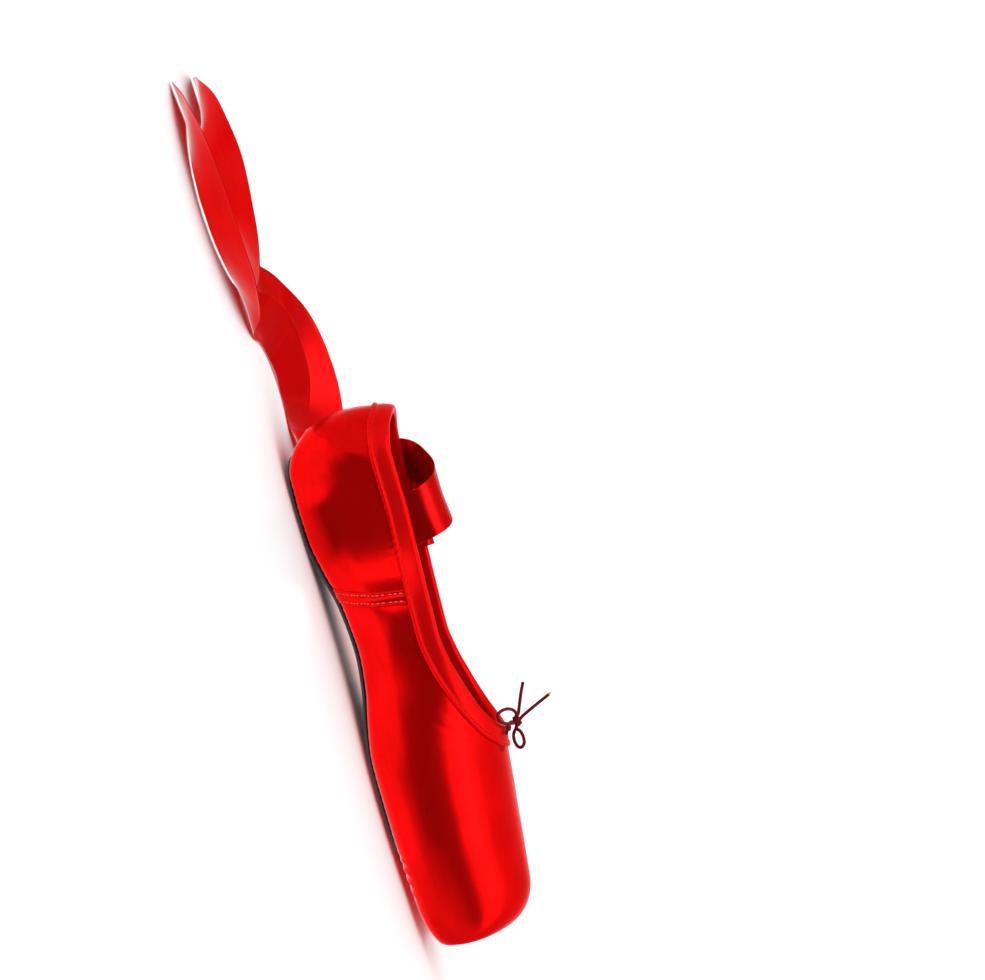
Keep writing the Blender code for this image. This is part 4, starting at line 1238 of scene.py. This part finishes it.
def cord_finish(name, tip_colour, tip_length, tip_gloss):
    """A round braid: strands that cross round the cord, and a tip singed or dipped in lacquer, with its own
    roughness."""
    made, tree, shader = new_finish(name)
    cloth = add_node(tree, "ShaderNodeUVMap", {"uv_map": "cloth"})
    part = add_node(tree, "ShaderNodeSeparateXYZ", None, {0: cloth.outputs[0]})
    along = sums(tree, "MULTIPLY", part.outputs["X"], 2 * math.pi / BRAID_LENGTH)
    around = sums(tree, "MULTIPLY", part.outputs["Y"], 2 * BRAID_STRANDS / (CORD_THICK * MM))
    first = sums(tree, "SINE", sums(tree, "ADD", along, around), 0.0)
    second = sums(tree, "SINE", sums(tree, "SUBTRACT", along, around), 0.0)
    strands = sums(tree, "MULTIPLY_ADD", sums(tree, "MAXIMUM", first, second), 0.5, 0.5)
    fuzz = stretched_noise(tree, cloth.outputs[0], (1500.0, 1500.0, 1.0), 3.0)
    # Painted shade: the braid is near black in the gaps between its strands and red on their crowns. The fuzz
    # adds a real random tone.
    tone_and_painted_shade = sums(tree, "MULTIPLY", strands, sums(tree, "MULTIPLY_ADD", fuzz, 0.7, 0.6))
    braid = blend_colours(tree, tone_and_painted_shade, (0.03, 0.0006, 0.001, 1.0), (0.21, 0.004, 0.006, 1.0))
    tip = spread_out(tree, part.outputs["X"], tip_length * 0.6, tip_length, 1.0, 0.0)
    tree.links.new(blend_colours(tree, tip, braid, (*tip_colour, 1.0)), shader.inputs["Base Color"])
    tree.links.new(sums(tree, "MULTIPLY_ADD", tip, tip_gloss - 0.6, 0.6), shader.inputs["Roughness"])
    shader.inputs["Specular IOR Level"].default_value = 0.12
    bump = add_node(tree, "ShaderNodeBump", None, {"Height": strands, "Distance": 0.0001})
    tree.links.new(bump.outputs[0], shader.inputs["Normal"])
    return made


singed_cord = cord_finish(
    "drawstring_singed", tip_colour=(0.012, 0.004, 0.004), tip_length=0.0018, tip_gloss=0.35
)
lacquered_cord = cord_finish(
    "drawstring_lacquered", tip_colour=(0.62, 0.52, 0.50), tip_length=0.0016, tip_gloss=0.12
)
long_route = smooth_route([Vector(point) for point in LONG_CORD], CORD_STEP)
short_points = [Vector(point) for point in SHORT_CORD_END] + knot_wraps()
short_points += [Vector(point) for point in SHORT_CORD_STRAND]
short_route = smooth_route(short_points, CORD_STEP)
long_nodes = (
    "drawstring_end_long",
    "drawstring_loop_front",
    "drawstring_loop_back",
    "drawstring_strand_right",
    "drawstring_knot",
)
short_nodes = ("drawstring_end_short", "drawstring_strand_left")
for name, route, length, nodes, finish in (
    ("drawstring_long_end", long_route, 0.096, long_nodes, lacquered_cord),
    ("drawstring_short_end", short_route, 0.046, short_nodes, singed_cord),
):
    bm = bmesh.new()
    tube(bm, route, CORD_THICK / 2, CORD_SIDES, TIP_ROUND)
    cord = finish_piece(name, bm, (finish,), nodes)
    [point * MM for point in route]

# Ribbons
# Two satin ribbons with woven edges, one sewn inside each quarter. They are made to be tied, and lie loose
# here: they hang over the collar and trail on the floor behind the heel.
RIBBON_WIDTH = 22.0
RIBBON_THICK = 0.36
RIBBON_STEP = 2.0
RIBBON_ROWS = (
    -1.0, -0.985, -0.96, -0.93, -0.85, -0.65, -0.4, -0.15,
    0.15, 0.4, 0.65, 0.85, 0.93, 0.96, 0.985, 1.0,
)
SELVEDGE = (0.92, 0.96, 0.985)  # the thick woven edge, in shares of the half width: start, full, rounded
BODY_THICK, SELVEDGE_THICK = 0.7, 0.5  # shares of the thickness, the second on top of the first
SELVEDGE_ROUNDING = 0.7
CUT_END = 0.4  # each cut end thins out over this length
RIPPLE, RIPPLE_LENGTH, RIPPLE_ACROSS = 0.25, 14.0, 1.2
# Each row is a point of the ribbon's middle line and the way that its face looks.
RIBBON_RIGHT = (
    (-60.5, -24.4, 24.0, 0.0, 1.0, 0.0),
    (-61.4, -23.2, 31.0, 0.0, 1.0, 0.0),
    (-62.4, -21.2, 38.6, 0.0, 1.0, 0.0),
    (-63.2, -19.9, 44.0, 0.0, 1.0, 0.0),
    (-64.0, -19.4, 49.5, 0.0, 1.0, -0.1),
    (-65.2, -18.2, 55.0, 0.0, 0.95, -0.3),
    (-66.9, -14.8, 59.6, 0.0, 0.7, -0.7),
    (-69.2, -8.8, 62.0, 0.0, 0.3, -0.95),
    (-72.6, -0.8, 62.0, 0.0, -0.05, -1.0),
    (-76.8, 8.2, 60.0, 0.0, -0.3, -0.95),
    (-81.4, 16.4, 56.2, 0.0, -0.5, -0.87),
    (-85.6, 22.8, 52.0, 0.0, -0.68, -0.73),
    (-88.8, 27.6, 46.6, 0.0, -0.9, -0.4),
    (-91.8, 29.8, 38.0, 0.05, -1.0, -0.15),
    (-95.2, 31.0, 27.4, 0.05, -1.0, 0.0),
    (-99.0, 32.6, 15.8, 0.05, -0.97, -0.2),
    (-104.0, 37.0, 5.9, 0.2, -0.75, -0.6),
    (-111.5, 45.2, 1.3, 0.0, 0.0, -1.0),
    (-126.0, 53.0, 4.2, 0.05, 0.30, -0.95),
    (-142.0, 52.0, 7.5, 0.0, 0.60, -0.80),
    (-157.0, 43.0, 7.9, -0.45, 0.45, -0.77),
    (-167.0, 27.0, 6.3, -0.45, 0.18, -0.87),
    (-171.0, 9.0, 1.4, 0.0, 0.0, -1.0),
    (-177.0, -9.0, 5.2, 0.35, -0.18, -0.92),
    (-188.0, -25.0, 7.4, 0.42, -0.40, -0.81),
    (-203.0, -36.0, 7.9, 0.25, -0.58, -0.77),
    (-221.0, -39.0, 7.8, 0.0, -0.62, -0.78),
    (-239.0, -33.0, 6.3, -0.22, -0.45, -0.87),
    (-254.0, -21.0, 3.9, -0.20, -0.18, -0.96),
    (-266.0, -6.0, 1.0, 0.0, 0.0, -1.0),
)
RIBBON_LEFT = (
    (-60.5, 24.4, 24.0, 0.0, -1.0, 0.0),
    (-60.8, 23.2, 31.0, 0.0, -1.0, 0.0),
    (-61.2, 21.2, 38.6, 0.0, -1.0, 0.1),
    (-61.4, 19.9, 44.0, 0.0, -1.0, 0.2),
    (-61.5, 19.9, 47.4, 0.0, -0.9, 0.4),
    (-61.6, 21.9, 49.6, 0.0, -0.3, 1.0),
    (-61.8, 25.0, 49.8, 0.0, 0.4, 0.9),
    (-62.2, 26.9, 47.0, 0.0, 1.0, 0.3),
    (-63.6, 28.6, 39.6, 0.0, 1.0, 0.2),
    (-66.6, 29.2, 30.0, 0.0, 1.0, 0.0),
    (-70.6, 30.4, 16.0, 0.0, 1.0, 0.1),
    (-73.6, 33.6, 5.6, 0.0, 0.8, 0.6),
    (-77.0, 42.0, 1.0, 0.0, 0.2, 1.0),
    (-82.0, 60.0, 1.8, 0.0, 0.0, 1.0),
    (-94.0, 80.0, 5.4, -0.38, -0.19, 0.90),
    (-114.0, 96.0, 8.6, -0.40, -0.58, 0.71),
    (-139.0, 103.0, 10.2, 0.0, -0.85, 0.53),
    (-162.0, 95.0, 9.3, 0.40, -0.65, 0.64),
    (-179.0, 77.0, 5.4, 0.38, -0.17, 0.91),
    (-190.0, 55.0, 1.0, 0.0, 0.0, 1.0),
    (-200.0, 33.0, 5.4, -0.40, 0.08, 0.91),
    (-216.0, 16.0, 8.6, -0.48, 0.52, 0.71),
    (-238.0, 11.0, 9.9, 0.0, 0.82, 0.57),
    (-258.0, 20.0, 7.9, 0.45, 0.45, 0.77),
    (-270.0, 38.0, 3.6, 0.26, 0.03, 0.97),
    (-275.0, 60.0, 1.0, 0.0, 0.0, 1.0),
)
ribbon_satin = satin_finish(
    "ribbon_satin",
    colour=(0.60, 0.005, 0.005),
    deep=(0.46, 0.003, 0.003),
    roughness=0.2,
    metallic=0.8,
    depth=0.000006,
)
for name, table, length in (("ribbon_right", RIBBON_RIGHT, 0.405), ("ribbon_left", RIBBON_LEFT, 0.394)):
    rows = smooth_route([Vector(row) for row in table], RIBBON_STEP)
    route = [Vector(row[:3]) for row in rows]
    lengths = lengths_along(route)
    ring = [(part, 1) for part in RIBBON_ROWS] + [(part, -1) for part in reversed(RIBBON_ROWS)]

    def ribbon_place(i, j):
        part, side = ring[j % len(ring)]
        run = route[min(len(route) - 1, i + 1)] - route[max(0, i - 1)]
        face = Vector(rows[i][3:])
        wide = face.cross(run).normalized()
        up = run.cross(wide).normalized()
        start, full, off = SELVEDGE
        selvedge = ramp(abs(part), start, full) * (1 - ramp(abs(part), off, 1.0) * SELVEDGE_ROUNDING)
        cut = min(1.0, lengths[i] / CUT_END, (lengths[-1] - lengths[i]) / CUT_END)
        thick = RIBBON_THICK * (BODY_THICK + SELVEDGE_THICK * selvedge) * cut
        ripple = RIPPLE * noise.noise(Vector((lengths[i] / RIPPLE_LENGTH, part * RIPPLE_ACROSS, 3.0)))
        return route[i] + wide * part * RIBBON_WIDTH / 2 + up * (side * thick / 2 + ripple)

    bm = bmesh.new()
    laid_grid(
        bm,
        len(route) - 1,
        len(ring),
        ribbon_place,
        lambda i, j: (lengths[i] * MM, ring[j % len(ring)][0] * RIBBON_WIDTH / 2 * MM),
    )
    bmesh.ops.remove_doubles(bm, verts=bm.verts, dist=0.001)
    bmesh.ops.recalc_face_normals(bm, faces=bm.faces)
    ribbon = finish_piece("satin_" + name, bm, (ribbon_satin,), (name,))
    [point * MM for point in route]

# Floor
# A pale studio floor of painted board, which curves up behind the shoe into a backdrop.
FLOOR_HALF_WIDTH = 3.0
FLOOR_REACH = 2.4  # half of its length, measured along the curve
FLOOR_FLAT = 0.5  # flat up to here
FLOOR_CURVE = 0.9  # then a quarter circle of this length
FLOOR_RADIUS = 0.573
bm = bmesh.new()
bmesh.ops.create_grid(bm, x_segments=2, y_segments=48, size=1.0)
for corner in bm.verts:
    run = corner.co.y * FLOOR_REACH
    bend = min(1.0, max(0.0, (run - FLOOR_FLAT) / FLOOR_CURVE))
    corner.co = (
        corner.co.x * FLOOR_HALF_WIDTH,
        min(run, FLOOR_FLAT) + FLOOR_RADIUS * math.sin(bend * math.pi / 2),
        FLOOR_RADIUS * (1 - math.cos(bend * math.pi / 2)) + max(0.0, run - FLOOR_FLAT - FLOOR_CURVE),
    )
floor_mesh = bpy.data.meshes.new("floor")
bm.to_mesh(floor_mesh)
bm.free()
floor_mesh.shade_smooth()
floor = bpy.data.objects.new("floor", floor_mesh)
bpy.context.scene.collection.objects.link(floor)
pale_floor, tree, shader = new_finish("pale_floor")
speckle = stretched_noise(tree, add_node(tree, "ShaderNodeTexCoord").outputs["Object"], (9.0, 9.0, 9.0), 3.0)
tint = blend_colours(tree, speckle, (0.87, 0.86, 0.87, 1.0), (0.91, 0.905, 0.91, 1.0))
tree.links.new(tint, shader.inputs["Base Color"])
shader.inputs["Roughness"].default_value = 0.6
shader.inputs["Specular IOR Level"].default_value = 0.25
floor_mesh.materials.append(pale_floor)
floor.visible_glossy = False  # the satin mirrors the room below the floor's level instead

# Room
# What the satin mirrors: a dark camera side, a wide softbox above it and a paler ceiling. Each row is an
# angle in degrees, from straight down over the camera's horizon and the ceiling to the far one, and a light.
ROOM = (
    (-90.0, 1.5), (-25.0, 1.45), (-10.0, 0.2), (0.0, 0.12), (33.0, 0.13), (41.0, 1.75),
    (72.0, 1.75), (84.0, 1.05), (120.0, 0.85), (180.0, 0.95),
)
ROOM_PEAK = 2.0
ROOM_LOW, ROOM_SPAN = -90.0, 270.0  # the first row's angle, and how many degrees the rows cover
# The room's two ends have a light of their own. An edge is given in X or Z of the way from the shoe, whose
# length is 1: none of that light at the first value, and all of it from the second.
HEEL_ROOM, HEEL_ROOM_EDGE = 0.85, (-0.47, -0.65)
HEEL_PANEL, PANEL_EDGE, PANEL_TOP = 1.5, (-0.18, -0.36), (-0.05, -0.2)  # a low panel beyond the heel
TOE_LIGHT, TOE_EDGE, TOE_SLANT = 0.8, (0.35, 0.8), -1.2  # the slant takes it away higher up
BACKDROP_TINT = (0.96, 0.96, 0.96, 1.0)
world = bpy.data.worlds.new("studio")
bpy.context.scene.world = world
world.use_nodes = True
tree = world.node_tree
room_sky = tree.nodes["Background"]
looking = add_node(tree, "ShaderNodeTexCoord").outputs["Generated"]
way = add_node(tree, "ShaderNodeSeparateXYZ", None, {0: looking})
angle = sums(tree, "ARCTAN2", way.outputs["Z"], sums(tree, "MULTIPLY", way.outputs["Y"], -1.0))
turned = sums(tree, "MULTIPLY_ADD", angle, 1 / math.radians(ROOM_SPAN), -ROOM_LOW / ROOM_SPAN)
room = add_node(tree, "ShaderNodeValToRGB", None, {0: turned})
while len(room.color_ramp.elements) < len(ROOM):
    room.color_ramp.elements.new(0.5)
for stop, (degrees, bright) in zip(room.color_ramp.elements, ROOM):
    stop.position = (degrees - ROOM_LOW) / ROOM_SPAN
    stop.color = (*[bright / ROOM_PEAK] * 3, 1.0)
lit = room.outputs[0]


def share_of(tree, value, start, full):
    """A soft mask: 0 up to start and 1 from full."""
    spread = {"Value": value, "From Min": start, "From Max": full}
    return add_node(tree, "ShaderNodeMapRange", {"interpolation_type": "SMOOTHSTEP"}, spread).outputs[0]


far_back = share_of(tree, way.outputs["X"], *PANEL_EDGE)
low_heel = sums(tree, "MULTIPLY", far_back, share_of(tree, way.outputs["Z"], *PANEL_TOP))
upward = sums(tree, "MAXIMUM", way.outputs["Z"], 0.0)
past_toe = sums(tree, "MULTIPLY_ADD", upward, TOE_SLANT, way.outputs["X"])
for bright, mask in (
    (HEEL_ROOM, share_of(tree, way.outputs["X"], *HEEL_ROOM_EDGE)),
    (HEEL_PANEL, low_heel),
    (TOE_LIGHT, share_of(tree, past_toe, *TOE_EDGE)),
):
    lit = blend_colours(tree, mask, lit, (*[bright / ROOM_PEAK] * 3, 1.0))
tree.links.new(lit, room_sky.inputs["Color"])
room_sky.inputs["Strength"].default_value = ROOM_PEAK
seen = add_node(tree, "ShaderNodeBackground", None, {"Color": BACKDROP_TINT, "Strength": 1.0})
camera_ray = add_node(tree, "ShaderNodeLightPath").outputs["Is Camera Ray"]
choice = add_node(tree, "ShaderNodeMixShader", None, {0: camera_ray})
tree.links.new(room_sky.outputs[0], choice.inputs[1])
tree.links.new(seen.outputs[0], choice.inputs[2])
tree.links.new(choice.outputs[0], tree.nodes["World Output"].inputs["Surface"])


# Softboxes and cards
# A long softbox over the shoe and a light on the backdrop. Close to the near side one black flag lies on the
# floor, another stands at the waist, and a pale reflector stands at the side seam.


def softbox(name, place, aim, size, power):
    lamp = bpy.data.lights.new(name, "AREA")
    lamp.shape = "RECTANGLE"
    lamp.size, lamp.size_y = size
    lamp.energy = power
    holder = bpy.data.objects.new(name, lamp)
    holder.location = place
    holder.rotation_mode = "QUATERNION"
    holder.rotation_quaternion = (Vector(aim) - Vector(place)).to_track_quat("-Z", "Y")
    bpy.context.scene.collection.objects.link(holder)


CARD_FADE = 0.22  # of a card's size, over which its edges fade


def studio_card(name, low, high, bright):
    """A card between two corners, with soft edges. It shows only in the shoe's gloss."""
    bm = bmesh.new()
    bmesh.ops.create_grid(bm, x_segments=1, y_segments=1, size=0.5)
    middle = (Vector(low) + Vector(high)) / 2
    reach = Vector(high) - Vector(low)
    bmesh.ops.scale(bm, verts=bm.verts, vec=(reach.x, max(reach.y, reach.z), 1.0))
    if reach.z > reach.y:
        bmesh.ops.rotate(bm, verts=bm.verts, matrix=Matrix.Rotation(math.pi / 2, 3, "X"))
    bmesh.ops.translate(bm, verts=bm.verts, vec=middle)
    mesh = bpy.data.meshes.new(name)
    bm.to_mesh(mesh)
    bm.free()
    made, tree, shader = new_finish(name)
    shader.inputs["Base Color"].default_value = (0.0, 0.0, 0.0, 1.0)
    shader.inputs["Specular IOR Level"].default_value = 0.0
    shader.inputs["Emission Color"].default_value = (1.0, 1.0, 1.0, 1.0)
    shader.inputs["Emission Strength"].default_value = bright
    inside = add_node(tree, "ShaderNodeTexCoord").outputs["Object"]
    spot = add_node(tree, "ShaderNodeSeparateXYZ", None, {0: inside})
    shown = 1.0
    for axis, start, run in zip("XYZ", low, reach):
        if run > 0:
            part = sums(tree, "MULTIPLY_ADD", spot.outputs[axis], 1 / run, -start / run)
            from_edge = share_of(tree, sums(tree, "PINGPONG", part, 0.5), 0.0, CARD_FADE)
            shown = sums(tree, "MULTIPLY", from_edge, shown)
    tree.links.new(shown, shader.inputs["Alpha"])
    mesh.materials.append(made)
    card = bpy.data.objects.new(name, mesh)
    bpy.context.scene.collection.objects.link(card)
    card.visible_camera = False
    card.visible_diffuse = False
    card.visible_shadow = False
    card.visible_transmission = False


studio_card("quarter_flag", low=(-0.087, -0.20, 0.0006), high=(-0.048, -0.012, 0.0006), bright=0.10)
studio_card("seam_reflector", low=(-0.0505, -0.060, -0.004), high=(-0.034, -0.060, 0.066), bright=2.2)
studio_card("waist_flag", low=(-0.034, -0.062, 0.034), high=(0.014, -0.062, 0.080), bright=0.06)
softbox("overhead_softbox", place=(0.0, -0.55, 0.95), aim=(0.0, 0.0, 0.0), size=(1.6, 0.40), power=3.0)
softbox("backdrop_light", place=(0.0, 0.6, 0.9), aim=(0.0, 1.2, 0.5), size=(2.4, 0.4), power=7.0)

# Camera
# It stands where the photo was taken from, at the near side and a little above the floor, and is rolled so
# that the toe points down as it does there.
PIXEL = 0.434 * MM
PHOTO_WIDTH = 985
SENSOR = 36.0
CAMERA_AWAY = 1.2
CAMERA_RISE = math.radians(4.0)
CAMERA_ROLL = math.radians(90.0 - 16.5)
AIM = Vector((-66.0, 0.0, 83.1)) * MM
lens = bpy.data.cameras.new("camera")
lens.sensor_width = SENSOR
lens.lens = SENSOR * CAMERA_AWAY / (PHOTO_WIDTH * PIXEL)
lens.clip_start = 0.05
camera = bpy.data.objects.new("camera", lens)
back = Vector((0.0, -math.cos(CAMERA_RISE), math.sin(CAMERA_RISE)))
camera.location = AIM + back * CAMERA_AWAY
camera.rotation_mode = "QUATERNION"
level = (-back).to_track_quat("-Z", "Y")
camera.rotation_quaternion = level @ Quaternion((0.0, 0.0, 1.0), CAMERA_ROLL)
bpy.context.scene.collection.objects.link(camera)
bpy.context.scene.camera = camera
bpy.context.scene.view_settings.view_transform = "Standard"
